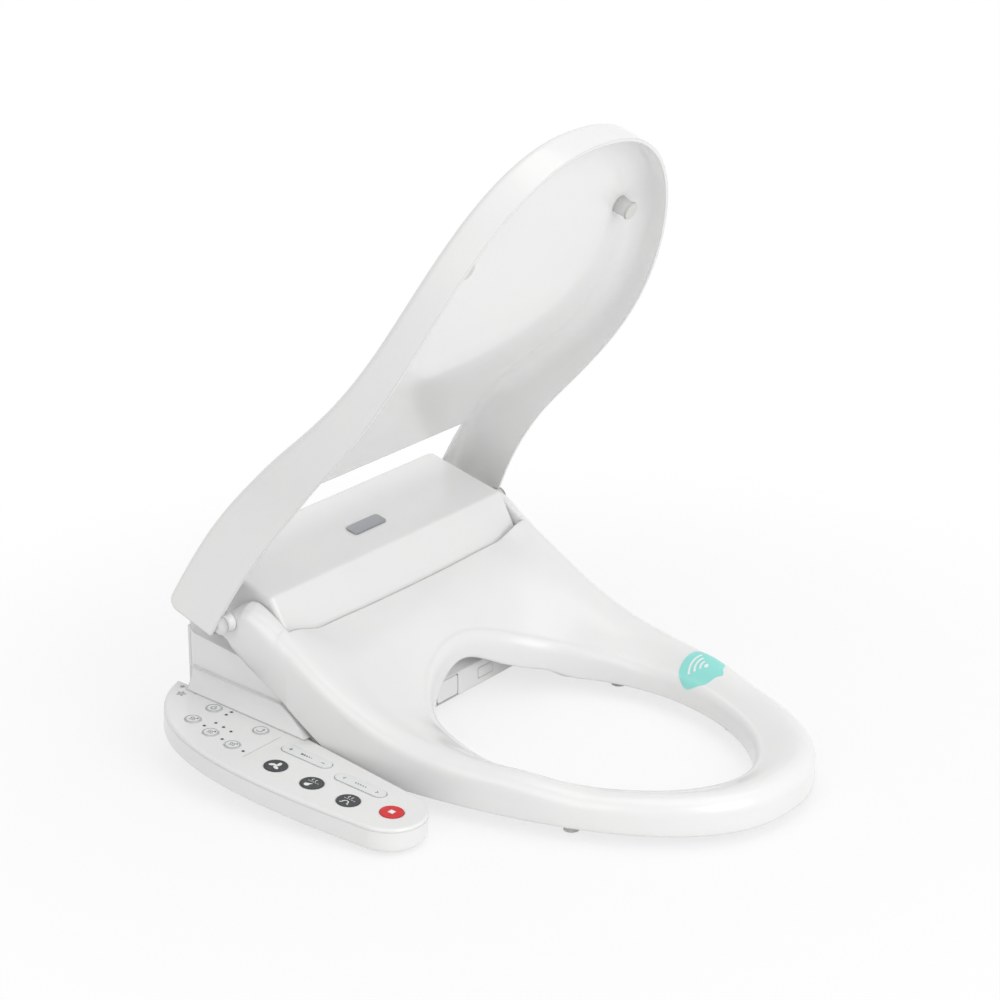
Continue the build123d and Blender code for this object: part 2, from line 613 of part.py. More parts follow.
def make_electronics():
    """Main circuit board, power module, cord gland and case screws."""
    PARTS["main_board"] = block(-126, 100, 34.2, 36.2, 46, 84) + block(-40, 92, 31, 34.2, 56, 78)
    PARTS["power_module"] = fillet(block(104, 148, 24.4, 37, 60, 90).edges().filter_by(Axis.Y), 3)
    gland = rod("Y", (135, HOUSING_REAR - 8, 40), 8, 7) + rod("Y", (135, HOUSING_REAR, 40), 6, 9.5)
    PARTS["cord_gland"] = gland - rod("Y", (135, HOUSING_REAR - 10, 40), 20, 3.6)
    screws = []
    for x in (-146, 146):
        for y in (-62, 30):
            shank = rod("Z", (x, y, BASE_FLOOR), 3, 2)
            screws.append(rod("Z", (x, y, BASE_FLOOR - 2), 2, 4) + shank)
    PARTS["case_screws"] = screws[0] + screws[1] + screws[2] + screws[3]
    PARTS["base_tray"] -= PARTS["case_screws"]


# Control wing

def tip_wing(shape):
    """Place a piece of the wing that was modelled level."""
    return Pos(*WING_PIVOT) * Rot(WING_SLOPE, 0, 0) * shape


LARGE_KEYS = {"dry_key": (-6.4, -10), "rear_wash_key": (-8, -49.5), "front_wash_key": (-9.5, -88.5),
              "stop_key": (0, -125)}
SMALL_KEYS = {"power_key": (32.5, 92.5), "water_heat_key": (6.4, 92), "seat_heat_key": (-0.6, 66),
              "air_heat_key": (-4, 39), "deodorise_key": (30, 38.5)}
ROCKERS = {"position_rocker": (22.5, -18), "pressure_rocker": (16, -80)}
ROCKER_LENGTH = 50
LIGHTS = [(31, 77.5), (37.5, 77.5), (14.5, 74), (13.5, 64.5), (12, 55), (4.5, 77.7), (-2.5, 51.5),
          (-6, 25.5)]
LIGHT_RADIUS = 1.3


def wing_outline(inset):
    """Plan outline of the wing: straight along the base, bowed outside, rounded at both ends."""
    tail = [(49.8 - inset, 149 - inset), (24 + inset * 0.4, 138.5 - inset)]
    tail.append((-4 + inset * 0.7, 113 - inset * 0.7))
    bow = tail + [(-26 + inset, 66), (-36 + inset, -8), (-34 + inset, -80), (-30 + inset, -125)]
    outside = Spline(*bow)
    front = ThreePointArc(bow[-1], (2, -152 + inset), (34 - inset, -122))
    return outside + front + Polyline(front @ 1, (49.8 - inset, 28), outside @ 0)


def key_disc(radius, place):
    """Round key with a flange below that keeps it in the cover."""
    x, y = place
    return rod("Z", (x, y, -4.6), 4.6 + KEY_PROUD, radius) + rod("Z", (x, y, -4.6), 1.2, radius + 1.4)


def rocker_bar(place, spare, bottom, top):
    """Long key with round ends, lying along the wing."""
    slot = SlotOverall(ROCKER_LENGTH + 2 * spare, 2 * (ROCKER_HALF_WIDTH + spare), rotation=90)
    return Pos(*place, bottom) * extrude(slot, amount=top - bottom)


def make_wing():
    """Control wing: case, cover, keys, lights, circuit board and switches."""
    case = Pos(0, 0, -WING_DEPTH) * extrude(make_face(wing_outline(0)), amount=WING_DEPTH - WING_COVER)
    case = fillet(case.edges().group_by(Axis.Z)[0], 5)
    hollow = extrude(make_face(wing_outline(WING_WALL)), amount=WING_DEPTH)
    case -= Pos(0, 0, -WING_DEPTH + WING_WALL) * hollow
    PARTS["wing_case"] = tip_wing(case)
    cover = Pos(0, 0, -WING_COVER) * extrude(make_face(wing_outline(0)), amount=WING_COVER)
    cover = fillet(cover.edges().group_by(Axis.Z)[-1], 2)
    switches = []
    for radius, keys in ((LARGE_KEY_RADIUS, LARGE_KEYS), (SMALL_KEY_RADIUS, SMALL_KEYS)):
        for name, place in keys.items():
            cover -= rod("Z", (*place, -9), 12, radius + KEY_GAP)
            PARTS[name] = tip_wing(key_disc(radius, place))
            switches.append(place)
    for name, place in ROCKERS.items():
        cover -= rocker_bar(place, 0.5, -9, 3)
        PARTS[name] = tip_wing(rocker_bar(place, 0, -4.6, KEY_PROUD))
        switches += [(place[0], place[1] + 15), (place[0], place[1] - 15)]
    lights = [rod("Z", (*place, BOARD_TOP), -BOARD_TOP + 0.1, LIGHT_RADIUS) for place in LIGHTS]
    for place in LIGHTS:
        cover -= rod("Z", (*place, -9), 12, LIGHT_RADIUS)
    PARTS["wing_cover"] = tip_wing(cover)
    PARTS["wing_lights"] = tip_wing(Compound(lights))
    board = Pos(0, 0, BOARD_TOP - 1.6) * extrude(make_face(wing_outline(WING_WALL + 0.6)), amount=1.6)
    PARTS["wing_board"] = tip_wing(board)
    buttons = [block(x - 3, x + 3, y - 3, y + 3, BOARD_TOP, -6.4) for x, y in switches]
    PARTS["tact_switches"] = tip_wing(Compound(buttons))


def main():
    """Build every piece and write one file for each."""
    for make in (make_mounting_plate, make_base, make_top_cover, make_hinges, make_water, make_nozzle,
                 make_air, make_electronics, make_wing, make_seat, make_lid):
        make()
    os.makedirs("parts", exist_ok=True)
    for name, shape in PARTS.items():
        export_step(shape, f"parts/{name}.step")
    print(len(PARTS), "nodes")


main()
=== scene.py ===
# %% [markdown]
# An electric bidet seat: a white moulded housing that is bolted to a toilet bowl, a heated
# seat and a deep lid on one hinge line, and a control wing with round keys.
# The CAD model gives every rigid piece its place. This script loads it as a fixed frame,
# makes the softly rounded mouldings again as smooth surfaces, and gives each piece a finish.

# %% Load the frame
import json
import math

import bmesh
import bpy
import numpy as np
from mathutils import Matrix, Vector


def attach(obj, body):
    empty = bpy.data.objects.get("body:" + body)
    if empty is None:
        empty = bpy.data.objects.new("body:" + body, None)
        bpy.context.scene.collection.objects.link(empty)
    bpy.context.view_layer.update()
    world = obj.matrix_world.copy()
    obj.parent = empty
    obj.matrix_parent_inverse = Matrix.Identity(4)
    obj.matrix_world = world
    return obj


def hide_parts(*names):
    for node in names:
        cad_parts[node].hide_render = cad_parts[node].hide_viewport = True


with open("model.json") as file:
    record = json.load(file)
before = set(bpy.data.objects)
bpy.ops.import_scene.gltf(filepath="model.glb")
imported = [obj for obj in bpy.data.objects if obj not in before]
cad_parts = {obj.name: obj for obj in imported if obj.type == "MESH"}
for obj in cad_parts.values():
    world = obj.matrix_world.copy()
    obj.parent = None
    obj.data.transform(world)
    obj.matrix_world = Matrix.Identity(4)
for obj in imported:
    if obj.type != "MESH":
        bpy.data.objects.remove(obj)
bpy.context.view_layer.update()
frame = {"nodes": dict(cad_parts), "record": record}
scene = bpy.context.scene

# %% [markdown]
# The photograph was taken from the front left, a little above the seat, with a long lens.
# A long lens keeps the far side of the lid almost as large as the near side, so the camera
# stands 2.4 m away. The focal length is given for a sensor 36 mm wide.

# %% Camera
AIM = Vector((0.0, -0.170, 0.207))
BACK = Vector((-0.7446, -0.5652, 0.3551))
DISTANCE = 2.4
LENS = 104.2

camera = bpy.data.objects.new("camera", bpy.data.cameras.new("camera"))
scene.collection.objects.link(camera)
camera.location = AIM + BACK * DISTANCE
camera.rotation_euler = (-BACK).to_track_quat("-Z", "Y").to_euler()
camera.data.lens = LENS
camera.data.sensor_width = 36
camera.data.clip_end = 50
scene.camera = camera
print("camera at", [round(v, 3) for v in camera.location])


# %% [markdown]
# Three small helpers make every material. Colours are written as the hex values that one would
# pick from a screen, and are turned into the linear values that the renderer adds and
# multiplies. The second helper adds one node, sets its values and links its inputs. The third
# starts a material with one shader.

# %% Helpers for materials
def linear(code):
    """sRGB hex to linear RGBA: a short straight start, then a power of 2.4."""
    channel = np.array([int(code[i:i + 2], 16) for i in (1, 3, 5)]) / 255
    low, high = channel / 12.92, ((channel + 0.055) / 1.055) ** 2.4
    return (*np.where(channel <= 0.04045, low, high).tolist(), 1.0)


def add_node(tree, kind, values=None, links=None, **settings):
    """One node: settings are its properties, values its input values, links its inputs' sources."""
    node = tree.nodes.new(kind)
    for name, value in settings.items():
        setattr(node, name, value)
    for name, value in (values or {}).items():
        node.inputs[name].default_value = value
    for name, source in (links or {}).items():
        tree.links.new(source, node.inputs[name])
    return node


def surface(name, values):
    """New material with one shader, and that shader's node tree."""
    material = bpy.data.materials.new(name)
    material.use_nodes = True
    tree = material.node_tree
    shader = tree.nodes["Principled BSDF"]
    for socket, value in values.items():
        shader.inputs[socket].default_value = value
    return material, tree, shader


print("mid grey is linear", round(linear("#808080")[0], 3))


# %% [markdown]
# Moulded plastic is never quite flat. Its skin has a faint long wave where the wall shrank as
# it cooled, and its gloss changes a little from place to place. A noise texture gives both.
# The finest grain of a real tool, about 0.1 mm, is too small to show here, so the wave is
# drawn at 1.5 to 12 mm. A Bevel node rounds the shading of edges that are sharp in the mesh.

# %% Moulded plastics
def moulded(name, code, rough, shade, wave_mm, depth_mm, coat=0.0, edge_mm=0.4):
    """Moulded plastic: a faint change of tint, gloss that varies, a soft wave and soft edges."""
    material, tree, shader = surface(name, {"IOR": 1.5, "Coat Weight": coat, "Coat Roughness": 0.08})
    place = add_node(tree, "ShaderNodeTexCoord")
    cloud = add_node(tree, "ShaderNodeTexNoise", {"Scale": 1000 / (wave_mm * 6), "Detail": 2.0},
                     {"Vector": place.outputs["Object"]})
    tint = add_node(tree, "ShaderNodeMix", {"A": linear(code), "B": linear(shade)},
                    {"Factor": cloud.outputs["Fac"]}, data_type="RGBA")
    gloss = add_node(tree, "ShaderNodeMapRange", {"To Min": rough * 0.85, "To Max": rough * 1.2},
                     {"Value": cloud.outputs["Fac"]})
    wave = add_node(tree, "ShaderNodeTexNoise", {"Scale": 1000 / wave_mm, "Detail": 1.0},
                    {"Vector": place.outputs["Object"]})
    edge = add_node(tree, "ShaderNodeBevel", {"Radius": edge_mm / 1000}, samples=4)
    bump = add_node(tree, "ShaderNodeBump", {"Strength": 0.25, "Distance": depth_mm / 1000},
                    {"Height": wave.outputs["Fac"], "Normal": edge.outputs["Normal"]})
    tree.links.new(tint.outputs["Result"], shader.inputs["Base Color"])
    tree.links.new(gloss.outputs["Result"], shader.inputs["Roughness"])
    tree.links.new(bump.outputs["Normal"], shader.inputs["Normal"])
    return material


abs_gloss = moulded("abs_white_gloss_moulded", "#EEEEEC", 0.24, "#E6E7E7", 12, 0.05, coat=0.35, edge_mm=2.0)
abs_satin = moulded("abs_white_satin_moulded", "#E9EAEA", 0.38, "#E1E2E3", 6, 0.04)
abs_grey = moulded("abs_grey_moulded", "#9C9EA1", 0.5, "#8E9093", 5, 0.05)
abs_black = moulded("abs_black_moulded", "#26272A", 0.5, "#1D1E20", 4, 0.05)
abs_dark_key = moulded("abs_dark_grey_key_satin", "#404143", 0.42, "#393A3C", 5, 0.03)
abs_red_key = moulded("abs_red_key_satin", "#DE2028", 0.38, "#D01A22", 5, 0.03)
tank_plastic = moulded("pp_ivory_moulded", "#DAD5C6", 0.45, "#CEC8B8", 6, 0.05)
pad_rubber = moulded("tpe_soft_white_rubber", "#DADAD6", 0.6, "#CDCDC8", 4, 0.06)
hose_rubber = moulded("epdm_grey_hose_extruded", "#66686C", 0.55, "#585A5E", 3, 0.06)
carbon_block = moulded("activated_carbon_block", "#242424", 0.85, "#151515", 1.5, 0.4)
board = moulded("fr4_black_solder_mask", "#26292B", 0.4, "#1E2022", 2, 0.03)
lens = moulded("pc_smoked_light_lens", "#3E4144", 0.25, "#34373A", 3, 0.02)
print("materials so far", len(bpy.data.materials))


# %% [markdown]
# Metals are told by their reflection: no colour of their own beside the tint of what they
# mirror, and fine lines along which they were drawn or turned. The lines are a noise that is
# stretched along one axis, so each line is 0.4 to 1 mm wide. Foil has wrinkles of about 3 mm
# instead, with no direction. Then every CAD node gets the finish that its record names.

# %% Metals
def drawn_metal(name, code, rough, line_mm, stretch):
    """Metal with fine parallel lines: a noise squeezed across the lines drives gloss and bump."""
    material, tree, shader = surface(name, {"Metallic": 1.0, "Base Color": linear(code)})
    place = add_node(tree, "ShaderNodeTexCoord")
    along = add_node(tree, "ShaderNodeMapping", {"Scale": stretch}, {"Vector": place.outputs["Object"]})
    lines = add_node(tree, "ShaderNodeTexNoise", {"Scale": 1000 / line_mm, "Detail": 2.0},
                     {"Vector": along.outputs["Vector"]})
    gloss = add_node(tree, "ShaderNodeMapRange", {"To Min": rough * 0.7, "To Max": rough * 1.3},
                     {"Value": lines.outputs["Fac"]})
    bump = add_node(tree, "ShaderNodeBump", {"Strength": 0.15, "Distance": 0.00005},
                    {"Height": lines.outputs["Fac"]})
    tree.links.new(gloss.outputs["Result"], shader.inputs["Roughness"])
    tree.links.new(bump.outputs["Normal"], shader.inputs["Normal"])
    return material


steel = drawn_metal("stainless_steel_drawn", "#B9BBBE", 0.3, 0.5, (0.05, 1.0, 1.0))
brass = drawn_metal("brass_turned", "#C9A25A", 0.32, 0.5, (0.05, 1.0, 1.0))
zinc = drawn_metal("zinc_plated_steel", "#A4A8AD", 0.42, 1.0, (1.0, 0.3, 0.3))
silver_foil = drawn_metal("silver_foil_satin", "#A6A8AC", 0.34, 0.4, (0.04, 1.0, 1.0))
foil = drawn_metal("aluminium_foil", "#C8CACC", 0.35, 3.0, (1.0, 1.0, 1.0))

FINISH = {
    "white_gloss": abs_gloss, "white_satin": abs_satin, "silver": silver_foil, "grey_plastic": abs_grey,
    "soft_rubber": pad_rubber, "steel": steel, "black_plastic": abs_black, "brass": brass,
    "tank_plastic": tank_plastic, "hose_rubber": hose_rubber, "zinc": zinc, "carbon": carbon_block,
    "circuit_board": board, "foil": foil, "dark_key": abs_dark_key, "red_key": abs_red_key,
    "light_lens": lens,
}
for part in frame["record"]["subparts"]:
    node = frame["nodes"][part["node"]]
    node.data.materials.clear()
    node.data.materials.append(FINISH[part["material_slot"]])
print("finishes", len(FINISH))

# %% [markdown]
# Every new piece is a surface worked out with numpy: a grid of points with rows and columns.
# One helper turns such a grid into a mesh. Rows or columns may close on themselves, as round
# a ring, and a mask leaves faces out where the real moulding has a cut.

# %% Helpers for surfaces
MM = 0.001


def grid_faces(rows, columns, close_rows=False, close_columns=False):
    """Corner numbers of the quads of a grid whose points are counted row by row."""
    i = np.arange(rows if close_rows else rows - 1)[:, None]
    j = np.arange(columns if close_columns else columns - 1)[None, :]
    k, m = (i + 1) % rows, (j + 1) % columns
    return np.stack([i * columns + j, i * columns + m, k * columns + m, k * columns + j], axis=-1)


def piece(name, points, faces, body, material, sharp=None):
    """Closed mesh from points in millimetres, riding on a body: doubles merged, faces outwards."""
    points = np.asarray(points, float).reshape(-1, 3) * MM
    mesh = bpy.data.meshes.new(name)
    mesh.from_pydata(points.tolist(), [], [list(map(int, f)) for f in faces])
    work = bmesh.new()
    work.from_mesh(mesh)
    bmesh.ops.remove_doubles(work, verts=work.verts, dist=2e-6)
    bmesh.ops.dissolve_degenerate(work, dist=1e-7, edges=work.edges)
    bmesh.ops.recalc_face_normals(work, faces=work.faces)
    work.to_mesh(mesh)
    work.free()
    mesh.shade_smooth()
    if sharp:
        mesh.set_sharp_from_angle(angle=math.radians(sharp))
    made = bpy.data.objects.new(name, mesh)
    scene.collection.objects.link(made)
    made.data.materials.append(material)
    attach(made, body)
    print(name, len(mesh.vertices), "points", len(mesh.polygons), "faces")
    return made


def smooth(value):
    """Smooth step from 0 to 1: three squares less two cubes."""
    t = np.clip(value, 0, 1)
    return t * t * (3 - 2 * t)


def ramp(distance, softness):
    """Zero far below nought, one for one far above it, with a soft bend between."""
    return softness * np.logaddexp(0, distance / softness)


def curve_through(points, steps):
    """Smooth line through points: on each stretch a cubic whose end slopes run between the neighbours."""
    points = np.asarray(points, float)
    padded = np.concatenate([2 * points[:1] - points[1:2], points, 2 * points[-1:] - points[-2:-1]])
    p0, p1, p2, p3 = (padded[i:len(padded) - 3 + i, None] for i in range(4))
    t = np.linspace(0, 1, steps, endpoint=False)[None, :, None]
    bend = (2 * p0 - 5 * p1 + 4 * p2 - p3) * t ** 2 + (3 * p1 - p0 - 3 * p2 + p3) * t ** 3
    line = (2 * p1 + (p2 - p0) * t + bend) / 2
    return np.concatenate([line.reshape(-1, points.shape[1]), points[-1:]])


print("a grid of 3 by 4 points has", grid_faces(3, 4).reshape(-1, 4).shape[0], "faces")


# %% [markdown]
# The lid is one deep shell. It is drawn shut, as its mould would hold it, and then turned up
# about the hinge. Its plan has a waist and a round tip, and its outer face is a long S seen
# from the side.

# %% Lid outline
HINGE_Y, HINGE_Z = -25.0, 121.0
LID_OPENING = 70
LID_WALL = 3.0
LID_TIP, LID_BULGE, LID_WAIST, LID_REAR = 463.0, 170.0, 118.0, -12.0
NOTCH_HALF, NOTCH_FRONT, EAR_CORNER = 161.5, 66.0, 8.0
WAIST_HALF, BULGE_HALF, EAR_FLARE, FLARE_POWER, TIP_POWER = 172.5, 176.5, 20.5, 1.35, 2.3
FACE_FRONT, FACE_CLIMB, FACE_MIDDLE, FACE_LENGTH = 57.0, 124.0, 172.0, 56.0
RIM_FRONT, RIM_CLIMB, RIM_MIDDLE, RIM_LENGTH = 26.5, 104.0, 160.0, 62.0


def lid_face(forward):
    """Height of the shut lid's outer face at a distance in front of the hinge: an S curve."""
    return FACE_FRONT + FACE_CLIMB / (1 + np.exp((forward - FACE_MIDDLE) / FACE_LENGTH))


def lid_rim(forward):
    """Height of the shut lid's lower rim, an S curve too."""
    return RIM_FRONT + RIM_CLIMB / (1 + np.exp((forward - RIM_MIDDLE) / RIM_LENGTH))


def lid_edge():
    """Right edge in plan from the ear to the tip: flare, waist, then a superellipse."""
    start = LID_REAR + EAR_CORNER * (1 - np.cos(np.radians(np.linspace(0, 90, 10))))
    ear = np.linspace(start[-1], NOTCH_FRONT, 22)
    waist = np.linspace(NOTCH_FRONT, LID_BULGE, 36)[1:-1]
    rear = np.concatenate([start[:-1], ear, waist])
    flare = np.clip((LID_WAIST - rear) / (LID_WAIST - LID_REAR), 0, None) ** FLARE_POWER
    swell = (BULGE_HALF - WAIST_HALF) * smooth((rear - LID_WAIST) / (LID_BULGE - LID_WAIST))
    wide = WAIST_HALF + EAR_FLARE * flare + swell
    angle = np.radians(np.linspace(0, 90, 100))
    across = BULGE_HALF * np.clip(np.cos(angle), 0, None) ** (2 / TIP_POWER)
    ahead = LID_BULGE + (LID_TIP - LID_BULGE) * np.sin(angle) ** (2 / TIP_POWER)
    across[-1] = 0
    return np.concatenate([wide, across]), np.concatenate([rear, ahead])


print("lid half width", round(lid_edge()[0].max(), 1), "face at the hinge", round(float(lid_face(0.0)), 1))


# %% [markdown]
# Outside, the wall turns into the face through a narrow bend. Inside, the mould leaves a wide
# soft hollow. So the two skins are two grids of the same size, each with its own bend. A row
# starts at the rim, goes up the wall, round the bend and over the face, and down the other
# side. Between the ears the faces are left out, which leaves the notch round the housing.

# %% Lid skins
OUTER_BEND, OUTER_BEND_GROWTH = 5.0, 2.0
INNER_BEND, INNER_BEND_GROWTH = 12.0, 10.0
BEND_GROWTH_START, BEND_GROWTH_LENGTH, BEND_SHARE = 60.0, 90.0, 0.55
NOTCH_BLEND = 60.0


def lid_skin(inset, bend, growth):
    """Grid of one skin: rim, wall, bend, face, then the same mirrored, from the ears to the tip."""
    x, f = lid_edge()
    notch_row = int(np.argmin(np.abs(f - NOTCH_FRONT)))
    behind = f <= NOTCH_FRONT
    dx, df = np.gradient(x), np.gradient(f)
    dx[-1], df[-1] = -1, 0
    size = np.hypot(dx, df)
    nx, nf = -df / size, dx / size
    nf = np.where(behind, 0, nf)
    x, f = x + nx * inset, np.where(behind, f, f + nf * inset)
    steep = np.exp((f - FACE_MIDDLE) / FACE_LENGTH)
    slope = FACE_CLIMB / FACE_LENGTH * steep / (1 + steep) ** 2
    ear_end = np.clip((LID_REAR + EAR_CORNER - f) / EAR_CORNER, 0, 1)
    corner = EAR_CORNER * (1 - np.sqrt(1 - ear_end ** 2))

    def top(forward):
        """The outer face, lowered by the inset square to it, and rounded at the end of the ears."""
        lowered = inset * np.hypot(1, slope) + corner
        return lid_face(forward) - (lowered if forward.ndim == 1 else lowered[:, None])

    bend = bend + growth * smooth((f - BEND_GROWTH_START) / BEND_GROWTH_LENGTH)
    rise = np.minimum(bend, BEND_SHARE * (top(f) - lid_rim(f)))
    wall = np.linspace(0, 1, 6)[None, :]
    low, high = lid_rim(f)[:, None], (top(f) - rise)[:, None]
    wall_x, wall_f = np.repeat(x[:, None], wall.size, 1), np.repeat(f[:, None], wall.size, 1)
    wall_points = np.stack([wall_x, wall_f, low + (high - low) * wall], -1)
    turn = np.radians(np.linspace(0, 90, 13)[1:])[None, :]
    inward = bend[:, None] * (1 - np.cos(turn))
    bx, bf = x[:, None] + nx[:, None] * inward, f[:, None] + nf[:, None] * inward
    bend_points = np.stack([bx, bf, top(bf) - rise[:, None] * (1 - np.sin(turn))], -1)
    end_x, end_f = bx[:, -1], bf[:, -1]
    guide = np.where(behind, NOTCH_HALF, NOTCH_HALF * end_x / end_x[notch_row])
    shift = (NOTCH_FRONT - end_f[notch_row]) * smooth(1 - (f - NOTCH_FRONT) / NOTCH_BLEND)
    guide_f = np.where(behind, f, end_f + shift)
    share = np.linspace(0, 1, 6)[None, 1:]
    ex = end_x[:, None] + (guide - end_x)[:, None] * share
    ef = end_f[:, None] + (guide_f - end_f)[:, None] * share
    ear_points = np.stack([ex, ef, top(ef)], -1)
    half = np.concatenate([wall_points, bend_points, ear_points], axis=1)
    mx = guide[:, None] * np.linspace(1, -1, 41)[None, 1:-1]
    mf = np.repeat(guide_f[:, None], mx.shape[1], 1)
    middle = np.stack([mx, mf, top(mf)], -1)
    left = half[:, ::-1] * np.array([-1, 1, 1])
    grid = np.concatenate([half, middle, left], axis=1)
    keep = np.ones((grid.shape[0] - 1, grid.shape[1] - 1), bool)
    keep[:notch_row, half.shape[1] - 1:half.shape[1] + middle.shape[1]] = False
    return grid, grid_faces(*grid.shape[:2])[keep]


outer_skin, skin_faces = lid_skin(0.0, OUTER_BEND, OUTER_BEND_GROWTH)
inner_skin, _ = lid_skin(LID_WALL, INNER_BEND, INNER_BEND_GROWTH)
print("each skin has", outer_skin.shape[0], "rows of", outer_skin.shape[1], "points")


# %% [markdown]
# Strips along the borders join the two skins into one closed shell: rim, ears and notch. An
# edge that only one face uses is a border. Then the shell is turned up about the hinge, and a
# small Bevel modifier softens its rim.

# %% Lid
def stitched(faces, count, last):
    """Faces of two like skins joined along their borders; points from last on close on themselves."""
    edges = np.concatenate([faces[:, [i, (i + 1) % 4]] for i in range(4)])
    _, first, uses = np.unique(np.sort(edges, 1), axis=0, return_index=True, return_counts=True)
    border = edges[first[uses == 1]]
    border = border[~(border >= last).all(axis=1)]
    strips = np.column_stack([border[:, ::-1], border + count])
    return np.concatenate([faces, faces[:, ::-1] + count, strips])


def opened(points):
    """Points of the shut lid (across, forward, height) turned up about the hinge into the frame."""
    angle = math.radians(-LID_OPENING)
    y, z = -points[..., 1], points[..., 2] - HINGE_Z
    turned_y = y * math.cos(angle) - z * math.sin(angle)
    turned_z = y * math.sin(angle) + z * math.cos(angle)
    return np.stack([points[..., 0], HINGE_Y + turned_y, HINGE_Z + turned_z], -1)


skin_count = outer_skin[..., 0].size
lid_faces = stitched(skin_faces, skin_count, skin_count - outer_skin.shape[1])
lid_points = np.concatenate([opened(outer_skin).reshape(-1, 3), opened(inner_skin).reshape(-1, 3)])
lid = piece("lid_moulding", lid_points, lid_faces, "lid", abs_gloss)
edge = lid.modifiers.new("edge", "BEVEL")
edge.width = 1.0 * MM
edge.segments = 3
edge.limit_method = "ANGLE"
edge.angle_limit = math.radians(50)
edge.harden_normals = True
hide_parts("lid_shell")


# %% [markdown]
# Inside each ear sits a knuckle that turns on the hinge pin, and near the tip two posts carry
# the soft buffers. Each is a turned profile: radius and height along an axis, carried round.

# %% Lid knuckles and posts
def turned(profile, count=48):
    """Surface of revolution about the first axis: rows are (along, radius) pairs, columns the turn."""
    profile = np.asarray(profile, float)
    angle = np.linspace(0, 2 * np.pi, count, endpoint=False)[None, :]
    along = np.repeat(profile[:, :1], count, 1)
    return np.stack([along, profile[:, 1:] * np.cos(angle), profile[:, 1:] * np.sin(angle)], -1)


def both(name, grid, body, material):
    """A grid closed round its columns and its mirror image across the middle plane, as one piece."""
    faces = grid_faces(*grid.shape[:2], close_columns=True).reshape(-1, 4)
    twin = grid * np.array([-1, 1, 1])
    points = np.concatenate([grid.reshape(-1, 3), twin.reshape(-1, 3)])
    faces = np.concatenate([faces, faces[:, ::-1] + grid[..., 0].size])
    return piece(name, points, faces, body, material)


def rounded_drum(start, end, radius, edge_radius):
    """Profile of a drum with rounded edges and closed ends, as (along, radius) pairs."""
    turn = np.radians(np.linspace(0, 90, 6))
    inset = edge_radius * (1 - np.sin(turn))
    round_off = radius - edge_radius * (1 - np.cos(turn[::-1]))
    first = np.column_stack([start + inset, round_off])
    last = np.column_stack([end - inset[::-1], round_off[::-1]])
    return np.concatenate([[(start, 0)], first[np.argsort(first[:, 0])], last, [(end, 0)]])


KNUCKLE_INNER, KNUCKLE_OUTER, KNUCKLE_RADIUS = 178.5, 188.8, 8.8
knuckle = turned(rounded_drum(KNUCKLE_INNER, KNUCKLE_OUTER, KNUCKLE_RADIUS, 2.0))
knuckle = knuckle + np.array([0, HINGE_Y, HINGE_Z])
both("lid_knuckles", knuckle, "lid", abs_gloss)
BUFFER_X, BUFFER_FORWARD, BUFFER_BOTTOM, POST_RADIUS = 109.0, 366.0, 44.0, 8.0
post_top = float(lid_face(BUFFER_FORWARD)) - 1
post = turned(rounded_drum(BUFFER_BOTTOM + 2, post_top, POST_RADIUS, 1.0))
post = opened(np.stack([BUFFER_X + post[..., 1], BUFFER_FORWARD + post[..., 2], post[..., 0]], -1))
both("lid_posts", post, "lid", abs_gloss)

# %% [markdown]
# The seat is a ring round an egg-shaped hole. Seen in section it has a lip at the hole, a
# dished top that rises to a crown, a rounded outer side and a flat underside. At the rear the
# ring stretches into an apron that climbs to the housing, and the lip arches over the nozzle.
# First come the heights of its crown, its lower edge and its lip, seen from the side.

# %% Seat heights
SEAT_NOSE, SEAT_REAR, HOLE_CENTRE = -462.0, -74.9, -258.0
APRON_START, APRON_END, APRON_DIP = -115.0, -62.0, 11.0
ARCH_FOOT, ARCH_RISE, ARCH_WIDTH, ARCH_TOP_WIDTH = 20.0, 31.0, 50.0, 72.0
CROWN_FRONT, CROWN_SLOPE, CROWN_CLIMB_Y = 40.0, 0.66, -193.0
SWELL_HEIGHT, SWELL_FRONT, SWELL_BACK = 7.5, -358.0, -240.0
LOWER_FRONT, LIP_FRONT, BASE_TILT = 9.0, 26.0, 0.02
LOWER_SLOPE, LOWER_CLIMB_Y = 0.68, -140.7


def seat_crown(y):
    """Height of the outer crown: level in front, a swell at the sides, then climbing to the arms."""
    swell = SWELL_HEIGHT * smooth((y - SWELL_FRONT) / 75) * (1 - smooth((y - SWELL_BACK) / 130))
    return CROWN_FRONT + swell + CROWN_SLOPE * ramp(y - CROWN_CLIMB_Y, 30)


def crown_height(y):
    """Height of the ring's own crown, which falls behind the arms' crown towards the housing."""
    return seat_crown(y) - APRON_DIP * smooth((y - APRON_START) / (APRON_END - APRON_START))


def seat_underside(y):
    """Height of the lower edge: almost level, then climbing under the arms."""
    return LOWER_FRONT + BASE_TILT * (y - SEAT_NOSE) + LOWER_SLOPE * ramp(y - LOWER_CLIMB_Y, 10)


def lip_height(x, y):
    """Height of the lip round the hole, with a bell-shaped arch at the rear."""
    arch = ARCH_RISE * np.exp(-(x / ARCH_TOP_WIDTH) ** 2) * smooth((y - HOLE_CENTRE) / 60)
    return LIP_FRONT + BASE_TILT * (y - SEAT_NOSE) + arch


print("crown at the nose and the arms", [round(float(seat_crown(y)), 1) for y in (SEAT_NOSE, SEAT_REAR)])


# %% [markdown]
# In plan, every edge is a distance from the hole's centre in a given direction. The upper face
# is then one height over the plan, so that the label can lie on the same face later.

